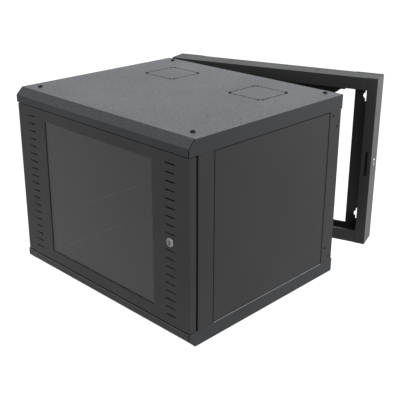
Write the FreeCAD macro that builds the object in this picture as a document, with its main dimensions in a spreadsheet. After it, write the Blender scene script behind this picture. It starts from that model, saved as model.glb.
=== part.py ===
"""Double-section wall mount network cabinet.

A shallow wall frame is screwed to the wall. The deep cabinet section hangs on it by two hinge
arms on the left and is locked to it on the right. A framed glass door closes the front.

Part frame: origin at the centre of the wall frame's back face, +Y into the wall, +Z up, +X to
the right of someone who faces the door. Lengths are in millimetres, angles in degrees.
The cabinet section is drawn in its closed place and then swung open about the wall hinge.
"""
import FreeCAD
import Part
import Sketcher
import math
import os
import re

DIMENSIONS = [
    ("cabinet_width", 600.0, "outside width of the cabinet section"),
    ("cabinet_depth", 513.0, "outside depth of the cabinet section"),
    ("cabinet_height", 466.0, "outside height of both sections"),
    ("cover_gauge", 1.5, "sheet of the covers and frames"),
    ("cover_flange", 35.0, "height of the covers' side and rear flanges"),
    ("cover_chamfer", 17.5, "45 degree chamfer along the covers' front edge"),
    ("cover_seam", 0.9, "open seam between a cover's chamfered front and its side flanges"),
    ("cover_sill", 3.5, "return lip on the side flanges' edges between the frames"),
    ("cover_screw_side", 36.5, "cover screws, distance from the covers' side faces"),
    ("cover_screw_front", 46.0, "front cover screws, distance from the front"),
    ("cover_screw_rear", 21.5, "rear cover screws, distance from the rear"),
    ("entry_size", 103.0, "side of a square cable entry knock-out"),
    ("entry_slit", 1.5, "width of the knock-outs' slits"),
    ("entry_corner", 4.0, "length of the angled slit at a knock-out's corner"),
    ("entry_bridge", 3.5, "length of the bridges that hold a knock-out"),
    ("entry_x", 148.0, "cable entries, distance from the middle"),
    ("entry_rear", 132.0, "cable entries, distance from the rear"),
    ("front_setback", 25.0, "front frame behind the front of the covers"),
    ("front_frame_depth", 45.7, "depth of the front frame's channel"),
    ("front_stile", 20.0, "width of the front frame's face beside the opening"),
    ("rear_setback", 4.0, "rear frame in front of the rear of the covers"),
    ("rear_frame_depth", 43.0, "depth of the rear frame's channel"),
    ("rear_stile", 45.0, "width of the frames' inner and rear faces"),
    ("frame_rail", 45.0, "height of the frames' faces above and below the opening"),
    ("seam_gap", 0.5, "seam between the frames' side faces and the cover flanges"),
    ("panel_gauge", 1.2, "sheet of side panels and door"),
    ("panel_recess", 0.8, "side panel's face behind the frames' side faces"),
    ("panel_gap", 1.5, "gap above, below and behind a side panel"),
    ("panel_front_gap", 3.0, "gap in front of a side panel"),
    ("panel_return", 14.0, "depth of a side panel's folded edges"),
    ("panel_screw_end", 83.0, "side panel screws, distance from the covers' faces"),
    ("buffer_size", 11.0, "side of the rubber pads under a side panel's edges"),
    ("rack_units", 8.0, "height units of the rack rails"),
    ("rack_unit", 44.45, "one height unit"),
    ("rack_hole_pitch", 465.1, "distance between the two columns of rack holes"),
    ("rack_opening", 450.8, "clear width between the rack rails"),
    ("rack_hole", 9.5, "side of a square rack hole"),
    ("rack_outer_step", 15.875, "from the middle rack hole of a unit to its neighbours"),
    ("rack_gauge", 2.0, "sheet of the rack and depth rails"),
    ("rack_side", 30.0, "depth of a rack rail's side leg"),
    ("rack_front_depth", 100.0, "front rack rails behind the front of the covers"),
    ("rack_rear_end", 93.0, "rear rack rails in front of the rear of the covers"),
    ("depth_rail_side", 38.0, "inner face of the depth rails, distance from the frames' sides"),
    ("depth_rail_width", 22.0, "width of a depth rail's channel"),
    ("depth_rail_height", 30.0, "height of a depth rail"),
    ("depth_rail_end", 112.0, "outer edge of the depth rails, distance from the covers' faces"),
    ("slide_slot_length", 110.0, "length of a depth rail's slide slot"),
    ("slide_slot_height", 7.0, "height of a depth rail's slide slot"),
    ("slide_slot_shift", 36.0, "middle of a slide slot, inwards of the rack rail"),
    ("door_left_gap", 4.5, "door edge inside the cover's left end"),
    ("door_right_gap", 0.4, "door edge inside the cover's right end"),
    ("door_gap", 1.7, "door edge to the covers' lips"),
    ("door_depth", 19.5, "depth of the door's folded pan"),
    ("door_lip", 10.0, "width of the inner lip round the door's back"),
    ("window_hinge_side", 108.8, "window edge inside the door's left edge"),
    ("window_lock_side", 110.1, "window edge inside the door's right edge"),
    ("window_head", 25.8, "window edge below the door's upper edge"),
    ("window_foot", 29.1, "window edge above the door's lower edge"),
    ("glass_margin", 11.0, "glass behind the sheet round the window"),
    ("glass_thickness", 4.0, "toughened glass"),
    ("seal_thickness", 0.3, "bonding strip between sheet and glass"),
    ("seal_width", 9.0, "width of the bonding strip"),
    ("slot_count", 19.0, "ventilation slots in one column"),
    ("slot_margin", 22.8, "first and last slot, distance from the door's edges"),
    ("slot_length", 29.0, "length of a ventilation slot"),
    ("slot_height", 3.0, "height of a ventilation slot"),
    ("slot_hinge_side", 52.7, "middle of the left slot column inside the door's left edge"),
    ("slot_lock_side", 56.0, "middle of the right slot column inside the door's right edge"),
    ("door_pin_x", 8.0, "door hinge axis, distance from the door's edge"),
    ("door_pin_y", 10.0, "door hinge axis, distance from the door's face"),
    ("door_pin_radius", 3.0, "radius of a door hinge pin"),
    ("door_pin_reach", 12.0, "length of a door hinge pin inside the door"),
    ("door_collar", 1.4, "shoulder of a door hinge pin between bracket and door"),
    ("door_bracket_gauge", 2.5, "plate of a door hinge bracket"),
    ("door_bracket_width", 22.0, "width of a door hinge bracket"),
    ("running_clearance", 0.08, "radial clearance of a turning pin or plug"),
    ("fit_clearance", 0.3, "clearance of a screw or a fixed barrel in its hole"),
    ("lock_side", 56.6, "door lock inside the door's right edge"),
    ("lock_head_radius", 10.5, "radius of a lock's outer head"),
    ("lock_head_height", 2.6, "height of a lock's outer head"),
    ("lock_barrel_radius", 8.0, "radius of a lock's barrel"),
    ("lock_plug_radius", 5.6, "radius of a lock's turning plug"),
    ("lock_nut_radius", 12.5, "corner radius of a lock's nut"),
    ("lock_nut_height", 4.0, "thickness of a lock's nut"),
    ("plug_sunk", 0.4, "turning plug behind the face of the lock's head"),
    ("key_slot_length", 7.8, "length of a lock's key slot"),
    ("key_slot_width", 1.8, "width of a lock's key slot"),
    ("key_slot_depth", 3.0, "depth of a lock's key slot"),
    ("door_cam_depth", 12.0, "door lock cam behind the door's face"),
    ("cam_gauge", 2.5, "plate of a lock cam"),
    ("door_cam_width", 18.0, "width of the door lock cam"),
    ("door_cam_straight", 32.0, "door lock cam from the lock to its crank"),
    ("door_cam_crank", 4.0, "length of the crank in the door lock cam"),
    ("door_cam_tip", 14.0, "length of the door lock cam's tip"),
    ("cam_clearance", 1.7, "door lock cam's tip behind the front frame's face"),
    ("wall_side_inset", 1.5, "wall frame's sides inside the cabinet section's sides"),
    ("wall_frame_depth", 63.0, "depth of the wall frame"),
    ("section_gap", 3.0, "gap between the two closed sections"),
    ("cabinet_drop", 2.8, "middle of the cabinet section below the wall frame's middle"),
    ("swing_open", 18.0, "opening angle of the cabinet section"),
    ("wall_front_flange", 27.0, "width of the wall frame's side front flanges"),
    ("wall_rail_flange", 33.4, "height of the wall frame's upper and lower front flanges"),
    ("wall_rail_inset", 0.8, "upper and lower members inside the ends of the side members"),
    ("wall_joint", 0.7, "gap at the joints of the wall frame's flanges"),
    ("wall_flange_lip", 9.0, "depth of the return lips on the front flanges"),
    ("wall_back_flange", 73.0, "width of the wall frame's side back flanges"),
    ("wall_rail_back", 30.0, "height of the upper and lower back flanges"),
    ("wall_tab_shoulder", 198.0, "half length of the upper member's tab at its shoulders"),
    ("wall_tab_step", 22.0, "depth of the tab's shoulders below the back flange"),
    ("wall_tab_drop", 36.0, "depth of the tab's lower edge below the back flange"),
    ("wall_tab_half", 168.0, "half length of the tab's lower edge"),
    ("wall_tab_slope", 18.0, "length of the tab's sloping ends"),
    ("keyhole_side", 42.0, "keyholes, distance from the wall frame's sides"),
    ("keyhole_end", 62.2, "keyholes, distance from the wall frame's ends"),
    ("keyhole_radius", 8.2, "round part of a keyhole"),
    ("keyhole_slot", 5.5, "width of a keyhole's slots"),
    ("keyhole_length", 31.0, "length of a keyhole over both slots"),
    ("wall_entry_half", 128.0, "half length of the wall frame's knock-out"),
    ("wall_entry_width", 32.0, "width of the wall frame's knock-out"),
    ("wall_entry_front", 15.5, "knock-out behind the wall frame's front"),
    ("wall_entry_slit", 2.0, "width of the slits of the wall frame's knock-out"),
    ("pivot_inset", 10.0, "hinge axis inside the wall frame's left face"),
    ("pivot_setback", 30.0, "hinge axis behind the wall frame's front"),
    ("pivot_end", 60.5, "hinges, distance from the sections' ends"),
    ("pivot_radius", 4.0, "radius of a wall hinge pin"),
    ("pivot_tail", 4.0, "wall hinge pin below the lower ear"),
    ("pivot_head_radius", 6.4, "radius of a wall hinge pin's head"),
    ("pivot_head_height", 3.0, "height of a wall hinge pin's head"),
    ("arm_gauge", 4.0, "plate of a hinge arm's tongue"),
    ("arm_leg_gauge", 3.0, "plate of a hinge arm's leg"),
    ("arm_width", 20.0, "width of a hinge arm's tongue"),
    ("arm_leg_height", 46.0, "height of a hinge arm's leg"),
    ("arm_leg_length", 34.0, "length of a hinge arm's leg"),
    ("arm_screw_y", 9.2, "hinge arm screws, distance along the leg from its middle"),
    ("arm_screw_z", 14.1, "hinge arm screws, distance above and below its middle"),
    ("arm_middle", 25.7, "middle of the hinge arm's leg in front of the rear face"),
    ("arm_play", 0.5, "clearance of the hinge arm in its slots"),
    ("bracket_gauge", 2.0, "plate of a wall hinge bracket"),
    ("bracket_ear_gauge", 2.5, "ear of a wall hinge bracket"),
    ("bracket_tail", 10.0, "wall hinge bracket's plate behind its ears"),
    ("bracket_height", 84.0, "height of a wall hinge bracket"),
    ("bracket_screw_y", 14.5, "bracket screws behind the wall frame's front"),
    ("bracket_screw_z", 34.0, "bracket screws above and below the hinge"),
    ("latch_x", 13.25, "plane of the wall lock's cam inside the wall frame's right face"),
    ("latch_slot_width", 7.5, "width of the cam's slots in the wall frame and the rear frame"),
    ("latch_slot_height", 67.0, "height of the slot in the wall frame"),
    ("latch_slot_top", 26.0, "upper end of the slot in the rear frame above the lock"),
    ("wall_lock_y", 28.4, "wall lock behind the wall frame's front"),
    ("wall_cam_reach", 42.0, "outer edge of the wall lock's cam, from the lock's axis"),
    ("wall_cam_width", 10.0, "width of the cam's arm"),
    ("wall_cam_hook", 12.0, "end of the cam's hook, from the lock's axis"),
    ("wall_cam_tip", 40.6, "outer edge of the hook's end, from the lock's axis"),
    ("hook_play", 0.8, "clearance between the cam's hook and the rear frame's sheet"),
    ("screw_radius", 2.5, "radius of a small screw"),
    ("screw_head_radius", 4.6, "radius of a small screw's head"),
    ("screw_head_height", 2.4, "height of a small screw's head"),
    ("screw_length", 9.0, "length of a small screw's shank"),
    ("cover_screw_radius", 3.0, "radius of a cover screw"),
    ("cover_head_radius", 5.6, "radius of a cover screw's head"),
    ("cover_head_height", 4.0, "height of a cover screw's head"),
    ("cover_screw_length", 12.0, "length of a cover screw's shank"),
    ("earth_x", 200.0, "earth stud, distance from the middle"),
    ("earth_radius", 3.0, "radius of the earth stud"),
    ("earth_length", 20.0, "length of the earth stud"),
]

DERIVED = {
    "front_y": "-(wall_frame_depth + section_gap + cabinet_depth)",
    "rear_y": "-(wall_frame_depth + section_gap)",
    "half_width": "cabinet_width/2",
    "half_height": "cabinet_height/2",
    "inner_width": "half_width - cover_gauge",
    "cover_screw_x": "half_width - cover_screw_side",
    "entry_depth": "cabinet_depth - entry_rear",
    "inner_height": "half_height - cover_gauge",
    "side_face_top": "half_height - cover_flange - seam_gap",
    "frame_front_y": "front_y + front_setback",
    "frame_back_y": "frame_front_y + front_frame_depth",
    "rear_frame_back_y": "rear_y - rear_setback",
    "rear_frame_front_y": "rear_frame_back_y - rear_frame_depth",
    "opening_height": "half_height - frame_rail",
    "chamfer_inner": "cover_chamfer + cover_gauge*(sqrt(2) - 1)",
    "screw_front_y": "front_y + cover_screw_front",
    "screw_rear_y": "rear_y - cover_screw_rear",
    "panel_face": "half_width - panel_recess",
    "panel_front_y": "frame_back_y + panel_front_gap",
    "panel_back_y": "rear_frame_front_y - panel_gap",
    "panel_top": "half_height - cover_flange - seam_gap - panel_gap",
    "panel_screw_x": "panel_face - panel_return/2",
    "panel_screw_z": "half_height - panel_screw_end",
    "rack_rear_depth": "cabinet_depth - rack_rear_end",
    "depth_rail_x": "half_width - depth_rail_side",
    "depth_rail_top": "half_height - depth_rail_end",
    "door_left": "-half_width + door_left_gap",
    "door_right": "half_width - door_right_gap",
    "door_top": "half_height - cover_flange - door_gap",
    "window_left": "-door_left - window_hinge_side",
    "window_right": "door_right - window_lock_side",
    "window_top": "door_top - window_head",
    "window_bottom": "door_top - window_foot",
    "slot_left_x": "-door_left - slot_hinge_side",
    "slot_right_x": "door_right - slot_lock_side",
    "slot_pitch": "2*(door_top - slot_margin)/(slot_count - 1)",
    "lock_x": "door_right - lock_side",
    "glass_y": "front_y + panel_gauge + seal_thickness",
    "door_axis_x": "door_left + door_pin_x",
    "door_axis_y": "front_y + door_pin_y",
    "door_bracket_z": "door_top + door_collar + fit_clearance",
    "rack_half": "rack_units*rack_unit/2",
    "wall_frame_width": "cabinet_width - 2*wall_side_inset",
    "pivot_x": "-wall_frame_width/2 + pivot_inset",
    "pivot_y": "-wall_frame_depth + pivot_setback",
    "pivot_z": "half_height - pivot_end",
    "keyhole_x": "wall_side - keyhole_side",
    "keyhole_z": "half_height - keyhole_end",
    "wall_side": "wall_frame_width/2",
    "wall_front_y": "-wall_frame_depth",
    "wall_inner": "wall_frame_width/2 - cover_gauge",
    "arm_left": "pivot_x - arm_width/2",
    "arm_leg_x": "-inner_width",
    "arm_leg_y": "rear_y - arm_middle",
    "latch_x_mid": "wall_side - latch_x",
    "latch_face": "latch_x_mid - cam_gauge/2",
    "wall_lock_mid": "wall_front_y + wall_lock_y",
    "hook_inside": "wall_lock_mid - rear_frame_back_y + cover_gauge + hook_play",
    "rail_face": "half_height - wall_rail_inset",
    "cam_tip_y": "frame_front_y + cover_gauge + cam_clearance",
    "cam_hub_y": "front_y + door_cam_depth",
}

doc = FreeCAD.newDocument("wall_mount_network_cabinet")
dims = doc.addObject("Spreadsheet::Sheet", "dims")
for row, (name, amount, meaning) in enumerate(DIMENSIONS, start=1):
    dims.set(f"A{row}", meaning)
    dims.set(f"B{row}", str(amount))
    dims.setAlias(f"B{row}", name)
doc.recompute()

SHEET_NAME = re.compile(r"\b(" + "|".join(name for name, _, _ in DIMENSIONS) + r")\b")
DERIVED_NAME = re.compile(r"\b(" + "|".join(DERIVED) + r")\b")
HEX_RISE = round(math.sin(math.radians(60)), 9)


def spelled_out(text):
    """Replace the derived names in an expression until only sheet names are left."""
    while DERIVED_NAME.search(text):
        text = DERIVED_NAME.sub(lambda found: "(" + DERIVED[found.group()] + ")", text)
    return text


def bound(text):
    """Expression for setExpression, with each sheet name as a reference to its cell."""
    return SHEET_NAME.sub(lambda found: "dims." + found.group(), spelled_out(str(text)))


def value(text):
    """Number that an expression has with the sheet's present cells."""
    plain = SHEET_NAME.sub(lambda found: repr(float(dims.get(found.group()))), spelled_out(str(text)))
    plain = plain.replace("sqrt(2)", repr(math.sqrt(2)))
    return FreeCAD.Units.parseQuantity(plain.replace("--", "+")).Value


def new_body(label):
    body = doc.addObject("PartDesign::Body", label)
    body.Label = label
    return body


def sketch(body, plane, level):
    """Sketch on one of the body's origin planes, moved to a level along the third axis."""
    sketched = body.newObject("Sketcher::SketchObject", body.Name + "_outline")
    origin_plane = [f for f in body.Origin.OriginFeatures if f.Role == plane][0]
    sketched.AttachmentSupport = [(origin_plane, "")]
    sketched.MapMode = "FlatFace"
    sign = "-" if plane == "XZ_Plane" else ""
    sketched.setExpression(".AttachmentOffset.Base.z", bound(f"{sign}({level})"))
    return sketched


def pin_point(sketched, curve, end, u, v):
    """Hold one point of a curve at bound coordinates, measured from the sketch's origin."""
    for kind, coordinate in (("DistanceX", u), ("DistanceY", v)):
        amount = value(coordinate)
        index = sketched.addConstraint(Sketcher.Constraint(kind, -1, 1, curve, end, amount))
        sketched.setExpression(f"Constraints[{index}]", bound(coordinate))


def polygon(sketched, corners):
    """Closed outline through corners given as pairs of expressions."""
    places = [FreeCAD.Vector(value(u), value(v), 0) for u, v in corners]
    first = sketched.GeometryCount
    for index, place in enumerate(places):
        sketched.addGeometry(Part.LineSegment(place, places[(index + 1) % len(places)]))
    for index, (u, v) in enumerate(corners):
        after = first + (index + 1) % len(corners)
        sketched.addConstraint(Sketcher.Constraint("Coincident", first + index, 2, after, 1))
        pin_point(sketched, first + index, 1, u, v)


def rectangle(sketched, left, right, low, high):
    polygon(sketched, [(left, low), (right, low), (right, high), (left, high)])


def circle(sketched, u, v, radius):
    place = FreeCAD.Vector(value(u), value(v), 0)
    curve = sketched.addGeometry(Part.Circle(place, FreeCAD.Vector(0, 0, 1), value(radius)))
    pin_point(sketched, curve, 3, u, v)
    index = sketched.addConstraint(Sketcher.Constraint("Radius", curve, value(radius)))
    sketched.setExpression(f"Constraints[{index}]", bound(radius))


def hexagon(sketched, u, v, radius):
    """Regular hexagon with two corners along the sketch's first axis."""
    corners = [(1.0, 0.0), (0.5, HEX_RISE), (-0.5, HEX_RISE),
               (-1.0, 0.0), (-0.5, -HEX_RISE), (0.5, -HEX_RISE)]
    polygon(sketched, [(f"({u}) + {across}*({radius})", f"({v}) + {along}*({radius})")
                       for across, along in corners])


def centred_rectangle(sketched, u, v, length, height):
    rectangle(sketched, f"({u}) - ({length})/2", f"({u}) + ({length})/2",
              f"({v}) - ({height})/2", f"({v}) + ({height})/2")


def pad(body, sketched, length, plane, plus=True):
    """Pad a sketch towards the plus or minus end of the axis that its plane faces."""
    feature = body.newObject("PartDesign::Pad", body.Name + "_pad")
    feature.Profile = sketched
    feature.setExpression("Length", bound(length))
    feature.Reversed = plus == (plane == "XZ_Plane")
    return feature


def pocket(body, sketched, length, plane, plus=True):
    feature = body.newObject("PartDesign::Pocket", body.Name + "_pocket")
    feature.Profile = sketched
    feature.setExpression("Length", bound(length))
    feature.Reversed = plus != (plane == "XZ_Plane")
    return feature


def pad_outline(body, plane, level, corners, length, plus=True):
    outline = sketch(body, plane, level)
    polygon(outline, corners)
    return pad(body, outline, length, plane, plus)


def pad_box(body, left, right, front, back, low, high):
    """Pad a rectangle of the plan from its lower to its upper level."""
    outline = sketch(body, "XY_Plane", low)
    rectangle(outline, left, right, front, back)
    return pad(body, outline, f"({high}) - ({low})", "XY_Plane")


def pocket_box(body, left, right, front, back, low, high):
    outline = sketch(body, "XY_Plane", low)
    rectangle(outline, left, right, front, back)
    return pocket(body, outline, f"({high}) - ({low})", "XY_Plane")


def drill(body, plane, level, centres, radius, length, plus=True):
    """Round holes through the sheet that lies behind the level."""
    outline = sketch(body, plane, level)
    for u, v in centres:
        circle(outline, u, v, radius)
    return pocket(body, outline, length, plane, plus)


def punch(body, plane, level, centres, radius, length, plus=True):
    """Hexagonal holes through the sheet behind the level, for the hexagonal screw inserts."""
    outline = sketch(body, plane, level)
    for u, v in centres:
        hexagon(outline, u, v, radius)
    return pocket(body, outline, length, plane, plus)


def pad_hexagons(body, plane, level, centres, radius, length, plus=True):
    outline = sketch(body, plane, level)
    for u, v in centres:
        hexagon(outline, u, v, radius)
    return pad(body, outline, length, plane, plus)


def pad_discs(body, plane, level, centres, radius, length, plus=True):
    outline = sketch(body, plane, level)
    for u, v in centres:
        circle(outline, u, v, radius)
    return pad(body, outline, length, plane, plus)


def turned(body, profile, u, v):
    """Revolve a profile of (radius, height) pairs about the upright axis through (u, v)."""
    outline = sketch(body, "XZ_Plane", v)
    polygon(outline, [(f"({u}) + ({radius})", height) for radius, height in profile])
    foot = FreeCAD.Vector(value(u), 0, 0)
    axis = outline.addGeometry(Part.LineSegment(foot, foot + FreeCAD.Vector(0, 1, 0)), True)
    pin_point(outline, axis, 1, u, "0")
    pin_point(outline, axis, 2, u, "1")
    feature = body.newObject("PartDesign::Revolution", body.Name + "_turned")
    feature.Profile = outline
    feature.ReferenceAxis = (outline, ["Axis0"])
    feature.Angle = 360.0
    return feature


def swing_shift():
    """Expressions for the shift that goes with the turn of the swung-open section."""
    turn = "-swing_open"
    shift_x = f"pivot_x - (pivot_x*cos({turn}) - pivot_y*sin({turn}))"
    shift_y = f"pivot_y - (pivot_x*sin({turn}) + pivot_y*cos({turn}))"
    return shift_x, shift_y, turn


def swing_about_hinge(piece):
    """Open a piece of the cabinet section about the wall hinge's upright axis."""
    shift_x, shift_y, turn = swing_shift()
    piece.setExpression("Placement", bound(
        f"placement(vector({shift_x}; {shift_y}; -cabinet_drop); rotation(vector(0; 0; 1); {turn}))"))


def left_hand(source, label):
    """Left-hand copy of a swung right-hand piece, mirrored across the section's middle."""
    feature = doc.addObject("Part::Mirroring", label)
    feature.Label = label
    feature.Source = source
    shift_x, shift_y, turn = swing_shift()
    feature.setExpression("Base", bound(f"vector({shift_x}; {shift_y}; 0)"))
    feature.setExpression("Normal", bound(f"vector(cos({turn}); sin({turn}); 0)"))
    return feature


def end_slit(slits, side, u, v, half_u, half_v, slit):
    """Slit across one end of a long knock-out, with its ends turned along the sides."""
    end_u = f"({u}) + {side}*({half_u})"
    near_u = f"{end_u} - {side}*{slit}"
    far_u = f"{end_u} - {side}*entry_corner"
    low, high = f"({v}) - ({half_v})", f"({v}) + ({half_v})"
    polygon(slits, [(end_u, low), (end_u, high), (far_u, high), (far_u, f"{high} - {slit}"),
                    (near_u, f"{high} - {slit}"), (near_u, f"{low} + {slit}"),
                    (far_u, f"{low} + {slit}"), (far_u, low)])


def upside_down(source, label):
    """Copy of a swung piece mirrored across the cabinet section's middle height."""
    feature = doc.addObject("Part::Mirroring", label)
    feature.Label = label
    feature.Source = source
    feature.setExpression("Base", bound("vector(0; 0; -cabinet_drop)"))
    feature.Normal = FreeCAD.Vector(0, 0, 1)
    return feature


def knock_out(body, level, centre, half_u, half_v, slit, plus):
    """Slits round a knock-out in a level sheet: one along each side, an angle at each corner."""
    slits = sketch(body, "XY_Plane", level)
    u, v = centre
    for across in (-1, 1):
        for along in (-1, 1):
            corner_u = f"({u}) + {across}*({half_u})"
            corner_v = f"({v}) + {along}*({half_v})"
            far_u, near_u = f"{corner_u} - {across}*entry_corner", f"{corner_u} - {across}*{slit}"
            far_v, near_v = f"{corner_v} - {along}*entry_corner", f"{corner_v} - {along}*{slit}"
            polygon(slits, [(corner_u, corner_v), (corner_u, far_v), (near_u, far_v),
                            (near_u, near_v), (far_u, near_v), (far_u, corner_v)])
    end = "(entry_corner + entry_bridge)"
    for side in (-1, 1):
        centred_rectangle(slits, u, f"({v}) + {side}*({half_v} - {slit}/2)",
                          f"2*({half_u} - {end})", slit)
        centred_rectangle(slits, f"({u}) + {side}*({half_u} - {slit}/2)", v,
                          slit, f"2*({half_v} - {end})")
    return pocket(body, slits, "cover_gauge", "XY_Plane", plus)


def build_cover(label, side):
    """Top or bottom cover: a folded pan with a 45 degree chamfer along its front."""
    body = new_body(label)
    edge = f"{side}*(half_height - cover_flange)"
    corners = [
        ("front_y", edge),
        ("front_y", f"{side}*(half_height - cover_chamfer)"),
        ("front_y + cover_chamfer", f"{side}*half_height"),
        ("rear_y", f"{side}*half_height"),
        ("rear_y", edge),
    ]
    pad_outline(body, "YZ_Plane", "-half_width", corners, "cabinet_width")
    inside = sketch(body, "YZ_Plane", "-half_width + cover_gauge")
    polygon(inside, [
        ("front_y + cover_gauge", edge),
        ("front_y + cover_gauge", f"{side}*(half_height - chamfer_inner)"),
        ("front_y + chamfer_inner", f"{side}*(half_height - cover_gauge)"),
        ("rear_y - cover_gauge", f"{side}*(half_height - cover_gauge)"),
        ("rear_y - cover_gauge", edge),
    ])
    pocket(body, inside, "cabinet_width - 2*cover_gauge", "YZ_Plane")
    low, high = (edge, "half_height") if side > 0 else ("-half_height", edge)
    sill = f"{side}*(half_height - cover_flange + cover_gauge)"
    sill_low, sill_high = (edge, sill) if side > 0 else (sill, edge)
    pocket_box(body, "inner_width - cover_seam", "inner_width", "front_y",
               "front_y + cover_chamfer", low, high)
    pocket_box(body, "-inner_width", "-inner_width + cover_seam", "front_y",
               "front_y + cover_chamfer", low, high)
    pad_box(body, "inner_width - cover_sill", "inner_width", "panel_front_y", "panel_back_y",
            sill_low, sill_high)
    pad_box(body, "-inner_width", "-inner_width + cover_sill", "panel_front_y", "panel_back_y",
            sill_low, sill_high)
    places = [(f"{x}*cover_screw_x", y) for x in (-1, 1) for y in ("screw_front_y", "screw_rear_y")]
    punch(body, "XY_Plane", f"{side}*half_height", places,
          "cover_screw_radius + fit_clearance", "cover_gauge", side < 0)
    for x in (-1, 1):
        knock_out(body, f"{side}*half_height", (f"{x}*entry_x", "front_y + entry_depth"),
                  "entry_size/2", "entry_size/2", "entry_slit", side < 0)
    return body


def stepped_outline(outer, inner, step, top):
    """Upright outline that is narrower above and below its step, where it enters the covers."""
    return [
        (outer, f"-({step})"), (outer, step), (inner, step), (inner, top),
        (f"-({inner})", top), (f"-({inner})", step), (f"-({outer})", step),
        (f"-({outer})", f"-({step})"), (f"-({inner})", f"-({step})"),
        (f"-({inner})", f"-({top})"), (inner, f"-({top})"), (inner, f"-({step})"),
    ]


def build_frame(label, front, depth, face_stile):
    """Rectangular frame of inward-open channel, joggled to pass inside the covers."""
    body = new_body(label)
    outside = stepped_outline("half_width", "inner_width", "side_face_top", "inner_height")
    pad_outline(body, "XZ_Plane", front, outside, depth)
    cavity = sketch(body, "XZ_Plane", f"{front} + cover_gauge")
    polygon(cavity, stepped_outline("half_width - cover_gauge", "inner_width - cover_gauge",
                                    "side_face_top - cover_gauge", "inner_height - cover_gauge"))
    pocket(body, cavity, f"{depth} - 2*cover_gauge", "XZ_Plane")
    face = sketch(body, "XZ_Plane", front)
    face_half = f"half_width - {face_stile}"
    rectangle(face, f"-({face_half})", face_half, "-opening_height", "opening_height")
    pocket(body, face, "cover_gauge", "XZ_Plane")
    back = sketch(body, "XZ_Plane", f"{front} + {depth} - cover_gauge")
    back_half = "half_width - rear_stile"
    rectangle(back, f"-({back_half})", back_half, "-opening_height", "opening_height")
    pocket(body, back, "cover_gauge", "XZ_Plane")
    return body


def drill_cover_holes(body, y):
    for side in (-1, 1):
        places = [(f"{x}*cover_screw_x", y) for x in (-1, 1)]
        punch(body, "XY_Plane", f"{side}*inner_height", places,
              "cover_screw_radius + fit_clearance", "cover_gauge", side < 0)


def panel_screw_places():
    return [(f"{x}*panel_screw_x", f"{z}*panel_screw_z") for x in (-1, 1) for z in (-1, 1)]


def build_front_frame():
    body = build_frame("front_frame", "frame_front_y", "front_frame_depth", "front_stile")
    drill_cover_holes(body, "screw_front_y")
    punch(body, "XZ_Plane", "frame_back_y", panel_screw_places(),
          "screw_radius + fit_clearance", "cover_gauge", False)
    return body


def arm_screw_places(level_sign):
    """The two screws of one hinge arm, on a diagonal, seen from the side."""
    middle_z = f"{level_sign}*pivot_z"
    return [("arm_leg_y - arm_screw_y", f"{middle_z} + arm_screw_z"),
            ("arm_leg_y + arm_screw_y", f"{middle_z} - arm_screw_z")]


def build_rear_frame():
    body = build_frame("rear_frame", "rear_frame_front_y", "rear_frame_depth", "rear_stile")
    drill_cover_holes(body, "screw_rear_y")
    punch(body, "XZ_Plane", "rear_frame_front_y", panel_screw_places(),
          "screw_radius + fit_clearance", "cover_gauge")
    places = arm_screw_places(1) + arm_screw_places(-1)
    for level in ("-half_width", "half_width"):
        punch(body, "YZ_Plane", level, places, "cover_screw_radius + fit_clearance",
              "cover_gauge", level.startswith("-"))
    for level in (1, -1):
        pocket_box(body, "arm_left", "arm_left + arm_width + arm_play",
                   "rear_frame_back_y - cover_gauge", "rear_frame_back_y",
                   f"{level}*pivot_z + cabinet_drop - arm_gauge/2 - arm_play",
                   f"{level}*pivot_z + cabinet_drop + arm_gauge/2 + arm_play")
    slot = sketch(body, "XZ_Plane", "rear_frame_back_y")
    rectangle(slot, "latch_x_mid - latch_slot_width/2", "latch_x_mid + latch_slot_width/2",
              "cabinet_drop - wall_cam_width/2 - hook_play", "cabinet_drop + latch_slot_top")
    pocket(body, slot, "cover_gauge", "XZ_Plane", False)
    return body


def build_side_panel(label):
    """Removable panel: a tray whose folded edges stand between the two frames."""
    body = new_body(label)
    pad_box(body, "panel_face - panel_return", "panel_face", "panel_front_y", "panel_back_y",
            "-panel_top", "panel_top")
    pocket_box(body, "panel_face - panel_return", "panel_face - panel_gauge",
               "panel_front_y + panel_gauge", "panel_back_y - panel_gauge",
               "-panel_top + panel_gauge", "panel_top - panel_gauge")
    places = [("panel_screw_x", f"{z}*panel_screw_z") for z in (-1, 1)]
    punch(body, "XZ_Plane", "panel_front_y", places, "screw_radius + fit_clearance", "panel_gauge")
    punch(body, "XZ_Plane", "panel_back_y", places, "screw_radius + fit_clearance", "panel_gauge",
          False)
    return body


def build_depth_rail(label):
    """Channel between the frames, with slots along which the rack rails slide."""
    body = new_body(label)
    inner = "depth_rail_x"
    outer = "depth_rail_x + depth_rail_width"
    low = "depth_rail_top - depth_rail_height"
    high = "depth_rail_top"
    pad_outline(body, "XZ_Plane", "frame_back_y", [
        (inner, low), (outer, low), (outer, f"{low} + rack_gauge"),
        (f"{inner} + rack_gauge", f"{low} + rack_gauge"),
        (f"{inner} + rack_gauge", f"{high} - rack_gauge"), (outer, f"{high} - rack_gauge"),
        (outer, high), (inner, high),
    ], "rear_frame_front_y - frame_back_y")
    slots = sketch(body, "YZ_Plane", inner)
    for depth in ("rack_front_depth", "rack_rear_depth"):
        turn = "+" if depth == "rack_front_depth" else "-"
        centred_rectangle(slots, f"front_y + {depth} {turn} slide_slot_shift + rack_side/2",
                          f"{high} - depth_rail_height/2", "slide_slot_length",
                          "slide_slot_height")
    pocket(body, slots, "rack_gauge", "YZ_Plane")
    return body


def rack_screw_place(depth):
    return f"front_y + {depth} + rack_side/2"


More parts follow.
